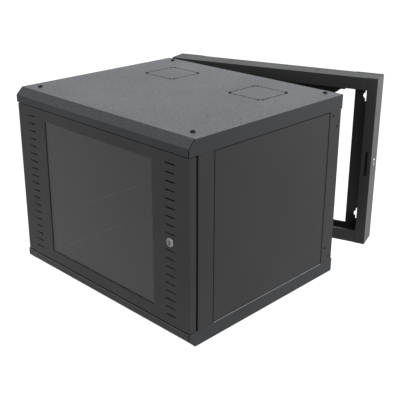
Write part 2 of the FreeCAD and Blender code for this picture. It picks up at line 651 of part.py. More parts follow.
def build_rack_rail(label, depth):
    """Upright angle with the square holes of a 19 inch rack, three to a unit."""
    body = new_body(label)
    front = f"front_y + {depth}"
    pad_outline(body, "XY_Plane", "-rack_half", [
        ("rack_opening/2", front), ("depth_rail_x", front),
        ("depth_rail_x", f"{front} + rack_side"),
        ("depth_rail_x - rack_gauge", f"{front} + rack_side"),
        ("depth_rail_x - rack_gauge", f"{front} + rack_gauge"),
        ("rack_opening/2", f"{front} + rack_gauge"),
    ], "2*rack_half")
    holes = sketch(body, "XZ_Plane", front)
    for step in ("-rack_outer_step", "0", "rack_outer_step"):
        middle = f"-rack_half + rack_unit/2 + {step}"
        rectangle(holes, "rack_hole_pitch/2 - rack_hole/2", "rack_hole_pitch/2 + rack_hole/2",
                  f"{middle} - rack_hole/2", f"{middle} + rack_hole/2")
    punched = pocket(body, holes, "rack_gauge", "XZ_Plane")
    pattern = body.newObject("PartDesign::LinearPattern", label + "_pattern")
    pattern.Originals = [punched]
    pattern.Direction = (holes, ["V_Axis"])
    pattern.Mode = "Spacing"
    pattern.setExpression("Offset", bound("rack_unit"))
    pattern.setExpression("Occurrences", bound("rack_units"))
    body.Tip = pattern
    places = [(rack_screw_place(depth), f"{z}*(depth_rail_top - depth_rail_height/2)")
              for z in (-1, 1)]
    punch(body, "YZ_Plane", "depth_rail_x - rack_gauge", places,
          "screw_radius + fit_clearance", "rack_gauge")
    return body


def build_door_frame():
    """Folded door pan with a window, two columns of slots and a lip round its back."""
    body = new_body("door_frame")
    pad_box(body, "door_left", "door_right", "front_y", "front_y + door_depth",
            "-door_top", "door_top")
    inside = sketch(body, "XZ_Plane", "front_y + panel_gauge")
    rectangle(inside, "door_left + panel_gauge", "door_right - panel_gauge",
              "-door_top + panel_gauge", "door_top - panel_gauge")
    pocket(body, inside, "door_depth - 2*panel_gauge", "XZ_Plane")
    back = sketch(body, "XZ_Plane", "front_y + door_depth - panel_gauge")
    rectangle(back, "door_left + door_lip", "door_right - door_lip",
              "-door_top + door_lip", "door_top - door_lip")
    pocket(body, back, "panel_gauge", "XZ_Plane")
    window = sketch(body, "XZ_Plane", "front_y")
    rectangle(window, "-window_left", "window_right", "-window_bottom", "window_top")
    pocket(body, window, "panel_gauge", "XZ_Plane")
    last_slot = "(slot_count - 1)/2*slot_pitch"
    columns = [("-slot_left_x", f"-{last_slot}", "slot_count"),
               ("slot_right_x", f"-{last_slot}", "(slot_count - 1)/2"),
               ("slot_right_x", "slot_pitch", "(slot_count - 1)/2")]
    for u, lowest, count in columns:
        slot = sketch(body, "XZ_Plane", "front_y")
        centred_rectangle(slot, u, lowest, "slot_length", "slot_height")
        punched = pocket(body, slot, "panel_gauge", "XZ_Plane")
        pattern = body.newObject("PartDesign::LinearPattern", "door_slots")
        pattern.Originals = [punched]
        pattern.Direction = (slot, ["V_Axis"])
        pattern.Mode = "Spacing"
        pattern.setExpression("Offset", bound("slot_pitch"))
        pattern.setExpression("Occurrences", bound(count))
        body.Tip = pattern
    drill(body, "XZ_Plane", "front_y", [("lock_x", "0")],
          "lock_barrel_radius + fit_clearance", "panel_gauge")
    for side in (-1, 1):
        drill(body, "XY_Plane", f"{side}*door_top", [("door_axis_x", "door_axis_y")],
              "door_pin_radius + running_clearance", "panel_gauge", side < 0)
    return body


def build_door_glass():
    body = new_body("door_glass")
    pad_box(body, "-window_left - glass_margin", "window_right + glass_margin",
            "glass_y", "glass_y + glass_thickness",
            "-window_bottom - glass_margin", "window_top + glass_margin")
    return body


def build_glass_seal():
    """Bonding strip that holds the glass against the sheet round the window."""
    body = new_body("glass_seal")
    ring = sketch(body, "XZ_Plane", "glass_y - seal_thickness")
    rectangle(ring, "-window_left - glass_margin", "window_right + glass_margin",
              "-window_bottom - glass_margin", "window_top + glass_margin")
    hole = "glass_margin - seal_width"
    rectangle(ring, f"-window_left - ({hole})", f"window_right + ({hole})",
              f"-window_bottom - ({hole})", f"window_top + ({hole})")
    pad(body, ring, "seal_thickness", "XZ_Plane")
    return body


def build_door_bracket(label, side):
    """Angle on the front frame's face that carries one end of the door."""
    body = new_body(label)
    near = f"{side}*(door_bracket_z)"
    far = f"{side}*(door_bracket_z + door_bracket_gauge)"
    top = f"{side}*(door_bracket_z + door_bracket_width)"
    low, high = (near, far) if side > 0 else (far, near)
    left = "door_axis_x - door_bracket_width/2"
    right = "door_axis_x + door_bracket_width/2"
    pad_box(body, left, right, "door_axis_y - door_pin_y + cover_gauge + fit_clearance",
            "frame_front_y", low, high)
    leg_low, leg_high = (near, top) if side > 0 else (top, near)
    pad_box(body, left, right, "frame_front_y - door_bracket_gauge", "frame_front_y",
            leg_low, leg_high)
    drill(body, "XY_Plane", near, [("door_axis_x", "door_axis_y")],
          "door_pin_radius + running_clearance", "door_bracket_gauge", side > 0)
    return body


def build_door_pin(label, side):
    """Shouldered hinge pin through the bracket into the door's edge."""
    body = new_body(label)
    heights = [
        ("0", f"{side}*(door_top - door_pin_reach)"),
        ("door_pin_radius", f"{side}*(door_top - door_pin_reach)"),
        ("door_pin_radius", f"{side}*(door_bracket_z - door_collar)"),
        ("2*door_pin_radius", f"{side}*(door_bracket_z - door_collar)"),
        ("2*door_pin_radius", f"{side}*door_bracket_z"),
        ("door_pin_radius", f"{side}*door_bracket_z"),
        ("door_pin_radius", f"{side}*(door_bracket_z + 2*door_bracket_gauge)"),
        ("0", f"{side}*(door_bracket_z + 2*door_bracket_gauge)"),
    ]
    turned(body, heights, "door_axis_x", "door_axis_y")
    return body


def build_lock_housing(label, u, plane, level, face, inward, length):
    """Round head and barrel of a cam lock with a bore for its plug."""
    body = new_body(label)
    outline = sketch(body, plane, face)
    circle(outline, u, level, "lock_head_radius")
    circle(outline, u, level, "lock_plug_radius + running_clearance")
    pad(body, outline, "lock_head_height", plane, not inward)
    barrel = sketch(body, plane, face)
    circle(barrel, u, level, "lock_barrel_radius")
    circle(barrel, u, level, "lock_plug_radius + running_clearance")
    pad(body, barrel, length, plane, inward)
    return body


def build_lock_nut(label, u, plane, level, face, inward):
    """Hexagon nut that clamps a lock against the inside of its sheet."""
    body = new_body(label)
    outline = sketch(body, plane, face)
    hexagon(outline, u, level, "lock_nut_radius")
    circle(outline, u, level, "lock_barrel_radius + running_clearance")
    pad(body, outline, "lock_nut_height", plane, inward)
    return body


def build_lock_plug(label, u, plane, level, face, inward, length):
    """Turning plug with a key slot across its outer end and a stub for the cam."""
    body = new_body(label)
    outer = "lock_head_height - plug_sunk"
    sign = "-" if inward else "+"
    mouth = f"({face}) {sign} ({outer})"
    pad_discs(body, plane, mouth, [(u, level)], "lock_plug_radius",
              f"{length} + {outer}", inward)
    stub_at = f"({face}) {'+' if inward else '-'} ({length})"
    pad_discs(body, plane, stub_at, [(u, level)], "lock_plug_radius/2", "cam_gauge", inward)
    slot = sketch(body, plane, mouth)
    centred_rectangle(slot, u, level, "key_slot_width", "key_slot_length")
    pocket(body, slot, "key_slot_depth", plane, inward)
    return body


def build_door_cam():
    """Cranked cam: straight at the lock, then a step back to pass behind the frame's face."""
    body = new_body("door_lock_cam")
    near = "cam_hub_y"
    back = "cam_tip_y"
    crank = "door_cam_straight + door_cam_crank"
    profile = [
        (near, "-door_cam_width/2"), (f"{near} + cam_gauge", "-door_cam_width/2"),
        (f"{near} + cam_gauge", "door_cam_straight"), (back + " + cam_gauge", crank),
        (back + " + cam_gauge", f"{crank} + door_cam_tip"), (back, f"{crank} + door_cam_tip"),
        (back, crank), (near, "door_cam_straight"),
    ]
    pad_outline(body, "YZ_Plane", "lock_x - door_cam_width/2", profile, "door_cam_width")
    drill(body, "XZ_Plane", near, [("lock_x", "0")],
          "lock_plug_radius/2 + running_clearance", "cam_gauge")
    return body


def build_wall_cam():
    """Hooked cam of the wall lock, drawn upright in its unlocked place inside the wall frame."""
    body = new_body("wall_lock_cam")
    half = "wall_cam_width/2"
    pad_outline(body, "YZ_Plane", "latch_face", [
        (f"wall_lock_mid + {half}", "0"), (f"wall_lock_mid + {half}", "wall_cam_reach"),
        (f"wall_lock_mid - {half}", "wall_cam_reach"),
        ("wall_lock_mid - wall_cam_hook", "wall_cam_tip"),
        ("wall_lock_mid - wall_cam_hook", "hook_inside"),
        (f"wall_lock_mid - {half}", "hook_inside"), (f"wall_lock_mid - {half}", "0"),
    ], "cam_gauge")
    pad_discs(body, "YZ_Plane", "latch_face", [("wall_lock_mid", "0")], half, "cam_gauge")
    drill(body, "YZ_Plane", "latch_face", [("wall_lock_mid", "0")],
          "lock_plug_radius/2 + running_clearance", "cam_gauge")
    return body


def build_wall_side(label, right):
    """Upright member of the wall frame: a channel with a narrow front and a wide back flange."""
    body = new_body(label)
    sign = "" if right else "-"
    outer = f"{sign}wall_side"
    inner = f"{sign}(wall_side - cover_gauge)"
    front = f"{sign}(wall_side - wall_front_flange)"
    lip = f"{sign}(wall_side - wall_front_flange + cover_gauge)"
    back = f"{sign}(wall_side - wall_back_flange)"
    pad_outline(body, "XY_Plane", "-half_height", [
        (outer, "wall_front_y"), (outer, "0"), (back, "0"), (back, "-cover_gauge"),
        (inner, "-cover_gauge"), (inner, "wall_front_y + cover_gauge"),
        (lip, "wall_front_y + cover_gauge"), (lip, "wall_front_y + wall_flange_lip"),
        (front, "wall_front_y + wall_flange_lip"), (front, "wall_front_y"),
    ], "cabinet_height")
    lip_end = "half_height - wall_rail_flange"
    left, near = (front, lip) if right else (lip, front)
    pocket_box(body, left, near, "wall_front_y + cover_gauge",
               "wall_front_y + wall_flange_lip", lip_end, "half_height")
    pocket_box(body, left, near, "wall_front_y + cover_gauge",
               "wall_front_y + wall_flange_lip", "-half_height", f"-({lip_end})")
    for level in (-1, 1):
        middle = f"{level}*keyhole_z"
        drill(body, "XZ_Plane", "-cover_gauge", [(f"{sign}keyhole_x", middle)],
              "keyhole_radius", "cover_gauge")
        slot = sketch(body, "XZ_Plane", "-cover_gauge")
        rectangle(slot, f"{sign}keyhole_x - keyhole_slot/2", f"{sign}keyhole_x + keyhole_slot/2",
                  f"{middle} - keyhole_length/2", f"{middle} + keyhole_length/2")
        pocket(body, slot, "cover_gauge", "XZ_Plane")
    places = [("wall_front_y + bracket_screw_y", f"{level}*pivot_z + {z}*bracket_screw_z")
              for level in (-1, 1) for z in (-1, 1)]
    punch(body, "YZ_Plane", outer, places, "screw_radius + fit_clearance", "cover_gauge", not right)
    return body


def build_wall_right():
    body = build_wall_side("wall_frame_right", True)
    slot = sketch(body, "XZ_Plane", "wall_front_y")
    rectangle(slot, "latch_x_mid - latch_slot_width/2", "latch_x_mid + latch_slot_width/2",
              "-latch_slot_height/2", "latch_slot_height/2")
    pocket(body, slot, "cover_gauge", "XZ_Plane")
    drill(body, "YZ_Plane", "wall_side", [("wall_lock_mid", "0")],
          "lock_barrel_radius + fit_clearance", "cover_gauge", False)
    return body


def build_wall_left():
    """Left member, with a slot round its corner for each hinge arm's tongue."""
    body = build_wall_side("wall_frame_left", False)
    for level in (1, -1):
        low = f"{level}*pivot_z - arm_gauge/2 - arm_play"
        high = f"{level}*pivot_z + arm_gauge/2 + arm_play"
        pocket_box(body, "-wall_side", "arm_left + arm_width + arm_play",
                   "wall_front_y", "wall_front_y + cover_gauge", low, high)
        pocket_box(body, "-wall_side", "-wall_side + cover_gauge",
                   "wall_front_y", "pivot_y + arm_width/2 + arm_play", low, high)
    return body


def build_wall_rail(label, side):
    """Upper or lower member of the wall frame; the upper one has a tab on its back flange."""
    body = new_body(label)
    face = f"{side}*rail_face"
    under = f"{side}*(rail_face - cover_gauge)"
    low, high = (under, face) if side > 0 else (face, under)
    pad_box(body, "-wall_inner", "wall_inner", "wall_front_y + cover_gauge", "-cover_gauge",
            low, high)
    reach = "wall_side - wall_front_flange - wall_joint"
    front_edge = f"{side}*(half_height - wall_rail_flange)"
    lip_face = f"{side}*(half_height - wall_rail_flange + cover_gauge)"
    pad_outline(body, "YZ_Plane", f"-({reach})", [
        ("wall_front_y", face), ("wall_front_y + 2*cover_gauge", face),
        ("wall_front_y + 2*cover_gauge", under), ("wall_front_y + cover_gauge", under),
        ("wall_front_y + cover_gauge", lip_face),
        ("wall_front_y + wall_flange_lip", lip_face),
        ("wall_front_y + wall_flange_lip", front_edge), ("wall_front_y", front_edge),
    ], f"2*({reach})")
    back_half = "(wall_side - wall_back_flange)"
    flange_edge = f"{side}*(half_height - wall_rail_back)"
    pad_box(body, f"-{back_half}", back_half, "-2*cover_gauge", "0", low, high)
    flange_low, flange_high = (flange_edge, face) if side > 0 else (face, flange_edge)
    pad_box(body, f"-{back_half}", back_half, "-cover_gauge", "0", flange_low, flange_high)
    if side > 0:
        shoulder = "half_height - wall_rail_back - wall_tab_step"
        tab_edge = "half_height - wall_rail_back - wall_tab_drop"
        pad_outline(body, "XZ_Plane", "-cover_gauge", [
            ("-wall_tab_shoulder", flange_edge), ("-wall_tab_shoulder", shoulder),
            ("-wall_tab_half - wall_tab_slope", shoulder), ("-wall_tab_half", tab_edge),
            ("wall_tab_half", tab_edge), ("wall_tab_half + wall_tab_slope", shoulder),
            ("wall_tab_shoulder", shoulder), ("wall_tab_shoulder", flange_edge),
        ], "cover_gauge")
    slits = sketch(body, "XY_Plane", face)
    middle = "wall_front_y + wall_entry_front + wall_entry_width/2"
    run = "(wall_entry_half - entry_corner - 1.5*entry_bridge)"
    for end in (-1, 1):
        end_slit(slits, end, "0", middle, "wall_entry_half", "wall_entry_width/2",
                 "wall_entry_slit")
        for edge in (-1, 1):
            centred_rectangle(slits, f"{end}*({run} + entry_bridge)/2",
                              f"{middle} + {edge}*(wall_entry_width/2 - entry_slit/2)",
                              run, "entry_slit")
    pocket(body, slits, "cover_gauge", "XY_Plane", side < 0)
    return body


def build_wall_bracket(label, level):
    """Wall hinge bracket: a plate on the member's side with an ear above and below the arm."""
    body = new_body(label)
    middle = f"{level}*pivot_z"
    left = "-wall_inner"
    front = "wall_front_y + cover_gauge + fit_clearance"
    back = "pivot_y + arm_width/2 + arm_play + bracket_tail"
    pad_box(body, left, f"{left} + bracket_gauge", front, back,
            f"{middle} - bracket_height/2", f"{middle} + bracket_height/2")
    gap = "arm_gauge/2 + fit_clearance"
    for side in (-1, 1):
        reach = gap if side > 0 else f"{gap} + bracket_ear_gauge"
        low = f"{middle} + {side}*({reach})"
        ear = sketch(body, "XY_Plane", low)
        polygon(ear, [
            (left, "pivot_y - arm_width/2"), ("pivot_x + arm_width/4", "pivot_y - arm_width/2"),
            ("pivot_x + arm_width/2", "pivot_y - arm_width/4"),
            ("pivot_x + arm_width/2", "pivot_y + arm_width/4"),
            ("pivot_x + arm_width/4", "pivot_y + arm_width/2"), (left, "pivot_y + arm_width/2"),
        ])
        pad(body, ear, "bracket_ear_gauge", "XY_Plane")
    pocket_box(body, left, f"{left} + bracket_gauge", front, "pivot_y + arm_width/2 + arm_play",
               f"{middle} - arm_gauge/2 - fit_clearance", f"{middle} + arm_gauge/2 + fit_clearance")
    drill(body, "XY_Plane", f"{middle} - ({gap}) - bracket_ear_gauge", [("pivot_x", "pivot_y")],
          "pivot_radius + running_clearance", f"2*({gap} + bracket_ear_gauge)")
    places = [("wall_front_y + bracket_screw_y", f"{middle} + {z}*bracket_screw_z") for z in (-1, 1)]
    punch(body, "YZ_Plane", left, places, "screw_radius + fit_clearance", "bracket_gauge")
    return body


def build_wall_pin(label, level):
    """Headed pin through the bracket's ears and the hinge arm."""
    body = new_body(label)
    middle = f"{level}*pivot_z"
    ear = "arm_gauge/2 + fit_clearance + bracket_ear_gauge"
    heights = [
        ("0", f"{middle} - ({ear}) - pivot_tail"),
        ("pivot_radius", f"{middle} - ({ear}) - pivot_tail"),
        ("pivot_radius", f"{middle} + {ear}"), ("pivot_head_radius", f"{middle} + {ear}"),
        ("pivot_head_radius", f"{middle} + {ear} + pivot_head_height"),
        ("0", f"{middle} + {ear} + pivot_head_height"),
    ]
    turned(body, heights, "pivot_x", "pivot_y")
    return body


def build_hinge_arm(label, level):
    """Hinge arm: a leg inside the rear post with a tongue that reaches to the hinge axis."""
    body = new_body(label)
    middle = f"{level}*pivot_z"
    pad_box(body, "arm_leg_x", "arm_leg_x + arm_leg_gauge",
            "arm_leg_y - arm_leg_length/2", "arm_leg_y + arm_leg_length/2",
            f"{middle} - arm_leg_height/2", f"{middle} + arm_leg_height/2")
    low = f"{middle} + cabinet_drop - arm_gauge/2"
    pad_box(body, "arm_leg_x", "arm_left + arm_width", "arm_leg_y - arm_leg_length/2",
            "pivot_y", low, f"{middle} + cabinet_drop + arm_gauge/2")
    pad_discs(body, "XY_Plane", low, [("pivot_x", "pivot_y")], "arm_width/2", "arm_gauge")
    drill(body, "XY_Plane", low, [("pivot_x", "pivot_y")], "pivot_radius + running_clearance",
          "arm_gauge")
    punch(body, "YZ_Plane", "arm_leg_x", arm_screw_places(level),
          "cover_screw_radius + fit_clearance", "arm_leg_gauge")
    return body


def build_screws(label, plane, places, level, head_plus, head_radius, head_height, radius, length):
    """Equal hexagon-head screws: heads on one side of the level, inserts on the other."""
    solids = []
    for number, (u, v) in enumerate(places):
        body = new_body(f"{label}_{number}")
        pad_hexagons(body, plane, level, [(u, v)], head_radius, head_height, head_plus)
        pad_hexagons(body, plane, level, [(u, v)], radius, length, not head_plus)
        solids.append(body)
    return solids


def grouped(label, solids):
    group = doc.addObject("Part::Compound", label)
    group.Label = label
    group.Links = solids
    return group


def small_screws(label, plane, places, level, head_plus):
    return build_screws(label, plane, places, level, head_plus, "screw_head_radius",
                        "screw_head_height", "screw_radius", "screw_length")


def cover_screws(label, side):
    places = [(f"{x}*cover_screw_x", y) for x in (-1, 1) for y in ("screw_front_y", "screw_rear_y")]
    solids = build_screws(label, "XY_Plane", places, f"{side}*half_height", side > 0,
                          "cover_head_radius", "cover_head_height", "cover_screw_radius",
                          "cover_screw_length")
    return grouped(label, solids)


def side_panel_screws(label, side):
    places = [(f"{side}*panel_screw_x", f"{z}*panel_screw_z") for z in (-1, 1)]
    front = small_screws(label + "_front", "XZ_Plane", places, "frame_back_y - cover_gauge", False)
    rear = small_screws(label + "_rear", "XZ_Plane", places,
                        "rear_frame_front_y + cover_gauge", True)
    return grouped(label, front + rear)


def arm_screws(label):
    """Screws of both hinge arms, from inside, sunk in the holes of the rear post."""
    solids = build_screws(label, "YZ_Plane", arm_screw_places(1) + arm_screw_places(-1),
                          "arm_leg_x + arm_leg_gauge", True, "cover_head_radius",
                          "screw_head_height", "cover_screw_radius", "arm_leg_gauge + seam_gap")
    return grouped(label, solids)


def side_panel_buffers(label):
    """Rubber pads that fill the gap between a side panel's edges and the frames."""
    solids = []
    for x in (-1, 1):
        for number, (level, gap, z) in enumerate(
                (*end, z) for end in (("frame_back_y", "panel_front_gap"),
                                      ("panel_back_y", "panel_gap")) for z in (-1, 1)):
            body = new_body(f"{label}_{x + 1}_{number}")
            ring = sketch(body, "XZ_Plane", level)
            place = (f"{x}*panel_screw_x", f"{z}*panel_screw_z")
            centred_rectangle(ring, place[0], place[1], "buffer_size", "buffer_size")
            hexagon(ring, place[0], place[1], "screw_radius + fit_clearance")
            pad(body, ring, gap, "XZ_Plane")
            solids.append(body)
    return grouped(label, solids)


def rack_rail_screws(label):
    solids = []
    for side in (-1, 1):
        places = [(rack_screw_place(depth), f"{z}*(depth_rail_top - depth_rail_height/2)")
                  for depth in ("rack_front_depth", "rack_rear_depth") for z in (-1, 1)]
        solids += small_screws(f"{label}_{side + 1}", "YZ_Plane", places,
                               f"{side}*(depth_rail_x - rack_gauge)", side < 0)
    return grouped(label, solids)


def build_earth_stud():
    """Earth stud with its nut on the rear frame's lower channel."""
    body = new_body("earth_stud")
    place = ("earth_x", "rear_frame_front_y + rear_frame_depth/2")
    floor = "-inner_height + cover_gauge"
    pad_hexagons(body, "XY_Plane", floor, [place], "earth_radius", "earth_length")
    pad_hexagons(body, "XY_Plane", floor, [place], "2*earth_radius", "earth_radius")
    return body


def build_cabinet_section():
    top_cover = build_cover("top_cover", 1)
    bottom_cover = build_cover("bottom_cover", -1)
    panel = build_side_panel("side_panel_right")
    upper_rail = build_depth_rail("depth_rail_right_upper")
    lower_rail = upside_down(upper_rail, "depth_rail_right_lower")
    front_rack = build_rack_rail("rack_rail_front_right", "rack_front_depth")
    rear_rack = build_rack_rail("rack_rail_rear_right", "rack_rear_depth")
    drawn = [
        top_cover, bottom_cover, build_front_frame(), build_rear_frame(),
        panel, upper_rail, front_rack, rear_rack,
        cover_screws("top_cover_screws", 1), cover_screws("bottom_cover_screws", -1),
        side_panel_screws("side_panel_screws_left", -1),
        side_panel_screws("side_panel_screws_right", 1),
        side_panel_buffers("side_panel_buffers"),
        rack_rail_screws("rack_rail_screws"),
        build_earth_stud(),
        build_door_bracket("door_hinge_bracket_upper", 1),
        build_door_bracket("door_hinge_bracket_lower", -1),
        build_door_pin("door_hinge_pin_upper", 1), build_door_pin("door_hinge_pin_lower", -1),
        build_hinge_arm("hinge_arm_upper", 1), build_hinge_arm("hinge_arm_lower", -1),
        arm_screws("hinge_arm_screws"),
    ] + build_door()
    for piece in drawn:
        swing_about_hinge(piece)
    copied = [
        lower_rail,
        left_hand(panel, "side_panel_left"),
        left_hand(upper_rail, "depth_rail_left_upper"),
        left_hand(lower_rail, "depth_rail_left_lower"),
        left_hand(front_rack, "rack_rail_front_left"),
        left_hand(rear_rack, "rack_rail_rear_left"),
    ]
    return drawn + copied


def build_door():
    barrel = "door_cam_depth - running_clearance"
    return [
        build_door_frame(), build_door_glass(), build_glass_seal(),
        build_lock_housing("door_lock_housing", "lock_x", "XZ_Plane", "0", "front_y", True, barrel),
        build_lock_nut("door_lock_nut", "lock_x", "XZ_Plane", "0", "front_y + panel_gauge", True),
        build_lock_plug("door_lock_plug", "lock_x", "XZ_Plane", "0", "front_y", True,
                        "door_cam_depth"),
        build_door_cam(),
    ]


def build_wall_section():
    barrel = "wall_side - latch_face - cam_gauge - running_clearance"
    return [
        build_wall_left(), build_wall_right(),
        build_wall_rail("wall_frame_top", 1), build_wall_rail("wall_frame_bottom", -1),
        build_wall_bracket("wall_hinge_bracket_upper", 1),
        build_wall_bracket("wall_hinge_bracket_lower", -1),
        build_wall_pin("wall_hinge_pin_upper", 1), build_wall_pin("wall_hinge_pin_lower", -1),
        grouped("wall_bracket_screws", small_screws(
            "wall_bracket_screw", "YZ_Plane",
            [("wall_front_y + bracket_screw_y", f"{level}*pivot_z + {z}*bracket_screw_z")
             for level in (-1, 1) for z in (-1, 1)], "-wall_side", False)),
        build_lock_housing("wall_lock_housing", "wall_lock_mid", "YZ_Plane", "0", "wall_side",
                           False, barrel),
        build_lock_nut("wall_lock_nut", "wall_lock_mid", "YZ_Plane", "0",
                       "wall_side - cover_gauge", False),
        build_lock_plug("wall_lock_plug", "wall_lock_mid", "YZ_Plane", "0", "wall_side", False,
                        "wall_side - latch_face - cam_gauge"),
        build_wall_cam(),
    ]


def check_features():
    """Stop on a failed feature, a bad shape or a pocket that cut nothing."""
    for item in doc.Objects:
        if "Invalid" in item.State or "Error" in item.State:
            raise RuntimeError(f"{item.Label} failed: {item.State}")
        if item.TypeId == "PartDesign::Pocket":
            before = item.BaseFeature.Shape.Volume
            if before - item.Shape.Volume < 1e-3:
                raise RuntimeError(f"{item.Label} in {item.getParent().Label} cuts nothing")


def export(pieces):
    os.makedirs("parts", exist_ok=True)
    for piece in pieces:
        shape = piece.Shape
        if shape.isNull() or not shape.isValid():
            raise RuntimeError(f"{piece.Label} has no valid shape")
        shape.exportStep(os.path.join("parts", piece.Label + ".step"))


wall_section = build_wall_section()
cabinet_section = build_cabinet_section()
doc.recompute()
check_features()
export(wall_section + cabinet_section)
print(f"{len(wall_section + cabinet_section)} pieces written")
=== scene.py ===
"""Looks for the double-section wall mount network cabinet.

The scene is in metres, in the part's own frame: +Y into the wall, +Z up. Pieces are drawn in
millimetres. Those of the swung-open section are drawn as if it were closed, and SWING carries
them over. Those of the wall frame are drawn in place, with STILL.
"""
import math

import bmesh
import bpy
from mathutils import Matrix, Vector


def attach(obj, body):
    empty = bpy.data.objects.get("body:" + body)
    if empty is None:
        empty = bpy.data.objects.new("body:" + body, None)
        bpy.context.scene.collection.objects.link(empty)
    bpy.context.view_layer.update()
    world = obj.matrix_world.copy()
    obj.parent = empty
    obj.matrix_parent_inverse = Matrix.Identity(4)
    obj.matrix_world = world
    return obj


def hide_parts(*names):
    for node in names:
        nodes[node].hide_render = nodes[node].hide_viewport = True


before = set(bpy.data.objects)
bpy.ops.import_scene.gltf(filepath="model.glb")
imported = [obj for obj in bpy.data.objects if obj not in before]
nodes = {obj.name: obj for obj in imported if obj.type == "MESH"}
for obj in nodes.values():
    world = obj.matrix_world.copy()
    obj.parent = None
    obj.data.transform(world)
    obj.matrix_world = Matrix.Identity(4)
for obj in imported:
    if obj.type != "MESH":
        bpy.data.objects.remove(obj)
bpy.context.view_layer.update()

MM = 0.001
WHOLE_SPAN = (0.0, 1.0)
PIVOT = Vector((-0.2885, -0.033, 0.0))
SWING_ANGLE = math.radians(-18.0)
DROP = 2.8
SWING = (Matrix.Translation(PIVOT - Vector((0.0, 0.0, DROP*MM))) @ Matrix.Rotation(SWING_ANGLE, 4, "Z")
         @ Matrix.Translation(-PIVOT))
STILL = Matrix.Identity(4)

LEFT, RIGHT = Vector((-1, 0, 0)), Vector((1, 0, 0))
TO_FRONT, TO_REAR = Vector((0, -1, 0)), Vector((0, 1, 0))
UP, DOWN = Vector((0, 0, 1)), Vector((0, 0, -1))

# Sizes of the solids that the pieces sit on, in millimetres.
FRONT = -579.0
REAR = -66.0
HALF_WIDTH = 300.0
HALF_HEIGHT = 233.0
SHEET = 1.5
COVER_LIP = 35.0
COVER_CHAMFER = 17.5
COVER_SCREW_X = 263.5
COVER_SCREW_Y = (FRONT + 46.0, REAR - 21.5)
ENTRY_X = 148.0
ENTRY_Y = REAR - 132.0
ENTRY_SIZE = 103.0
ENTRY_SLIT = 1.5
ENTRY_CORNER = 4.0
ENTRY_BRIDGE = 3.5
FRONT_POST_END = FRONT + 25.0 + 45.7
REAR_POST_END = REAR - 4.0 - 43.0
PANEL_SCREW_X = HALF_WIDTH - 0.8 - 7.0
PANEL_SCREW_Z = 150.0
PANEL_FRONT_GAP = 3.0
PANEL_REAR_GAP = 1.5
PANEL_END = 197.0
RAIL_SCREW_X = 260.0
RAIL_SCREW_Y = (FRONT + 115.0, FRONT + 435.0)
RAIL_SCREW_Z = 106.0
HINGE_LEVEL = 172.5
WALL_SIDE = 298.5
WALL_FRONT = -63.0
WALL_HALF_HEIGHT = HALF_HEIGHT - 0.8
WALL_ENTRY_HALF = 128.0
WALL_ENTRY_WIDTH = 32.0
WALL_ENTRY_FRONT = 15.5
WALL_ENTRY_SLIT = 2.0
DOOR_LOCK = (243.0, FRONT, 0.0)
DOOR_LOCK_LENGTH = 11.9
WALL_LOCK = (WALL_SIDE, -34.6, 0.0)
WALL_LOCK_LENGTH = 13.4

POST_HOLES = [(REAR - 25.7 + across, level*HINGE_LEVEL + along)
              for level in (-1, 1) for across, along in ((-9.2, 14.1), (9.2, -14.1))]
BRACKET_HOLES = [(WALL_FRONT + 14.5, level*HINGE_LEVEL + along)
                 for level in (-1, 1) for along in (-34.0, 34.0)]

# Screws: head radius and height, shank radius and length.
COVER_SCREW = (5.6, 4.0, 3.0, 11.9)
ARM_SCREW = (5.6, 2.4, 3.0, 3.4)
SMALL_SCREW = (4.6, 2.4, 2.5, 8.9)
# Dome of a screw's head: shares of its radius and of its height.
DOME = ((1.0, 0.25), (0.97, 0.5), (0.86, 0.78), (0.68, 0.94), (0.52, 1.0))

# Turned faces of a cam lock's housing and plug (radius, height), and its stepped keyhole.
LOCK_BORE = 5.72
LOCK_BARREL = 8.0
HOUSING_FACE = ((10.5, 0.0), (10.45, 0.5), (10.2, 1.0), (9.75, 1.45), (9.1, 1.85), (8.3, 2.2),
                (7.3, 2.45), (6.3, 2.58), (5.95, 2.5), (5.8, 1.6))
PLUG_RADIUS = 5.55
PEG_RADIUS = 2.75
PLUG_FACE = ((PLUG_RADIUS, 1.5), (5.4, 2.05), (5.0, 2.3), (3.5, 2.45), (0.0, 2.5))
CAM_SHEET = 2.5
CAM_PLAY = 0.1
KEYHOLE = ((-1.2, -4.5), (1.2, -4.5), (1.2, -1.6), (1.9, -1.3), (1.9, 1.0), (1.2, 1.4),
           (1.2, 4.5), (-1.2, 4.5), (-1.2, 1.9), (-1.9, 1.6), (-1.9, -0.7), (-1.2, -1.1))
KEYHOLE_TOP = 2.55
KEYHOLE_FOOT = 1.6
LOCK_SMOOTH = 28.0

FLOOR_HALF = 14.0
FLOOR_LEVEL = -0.62
FLOOR_COLOUR = (0.13, 0.13, 0.13)
FLOOR_SEEN = 0.95
WORLD_COLOUR = (0.96, 0.98, 1.0, 1.0)
WORLD_LIGHT = 0.48
WORLD_SEEN = 1.05

# Lamps: name, place, target and size in metres, power in watts.
LAMPS = (
    ("overhead", (0.2, 0.2, 2.9), (0.0, -0.2, 0.1), (2.6, 2.6), 98.0),
    ("front_fill", (-0.75, -3.05, 0.95), (0.0, -0.5, 0.0), (1.3, 1.0), 7.0),
    ("side_fill", (1.35, -2.3, 1.35), (0.15, -0.3, 0.0), (0.42, 0.42), 8.0),
    ("rear_side", (2.2, 2.3, 0.95), (0.2, -0.1, 0.0), (1.6, 1.6), 80.0),
    ("rear_top", (-1.7, 3.0, 1.35), (-0.1, -0.3, 0.2), (3.0, 1.2), 4.0),
)


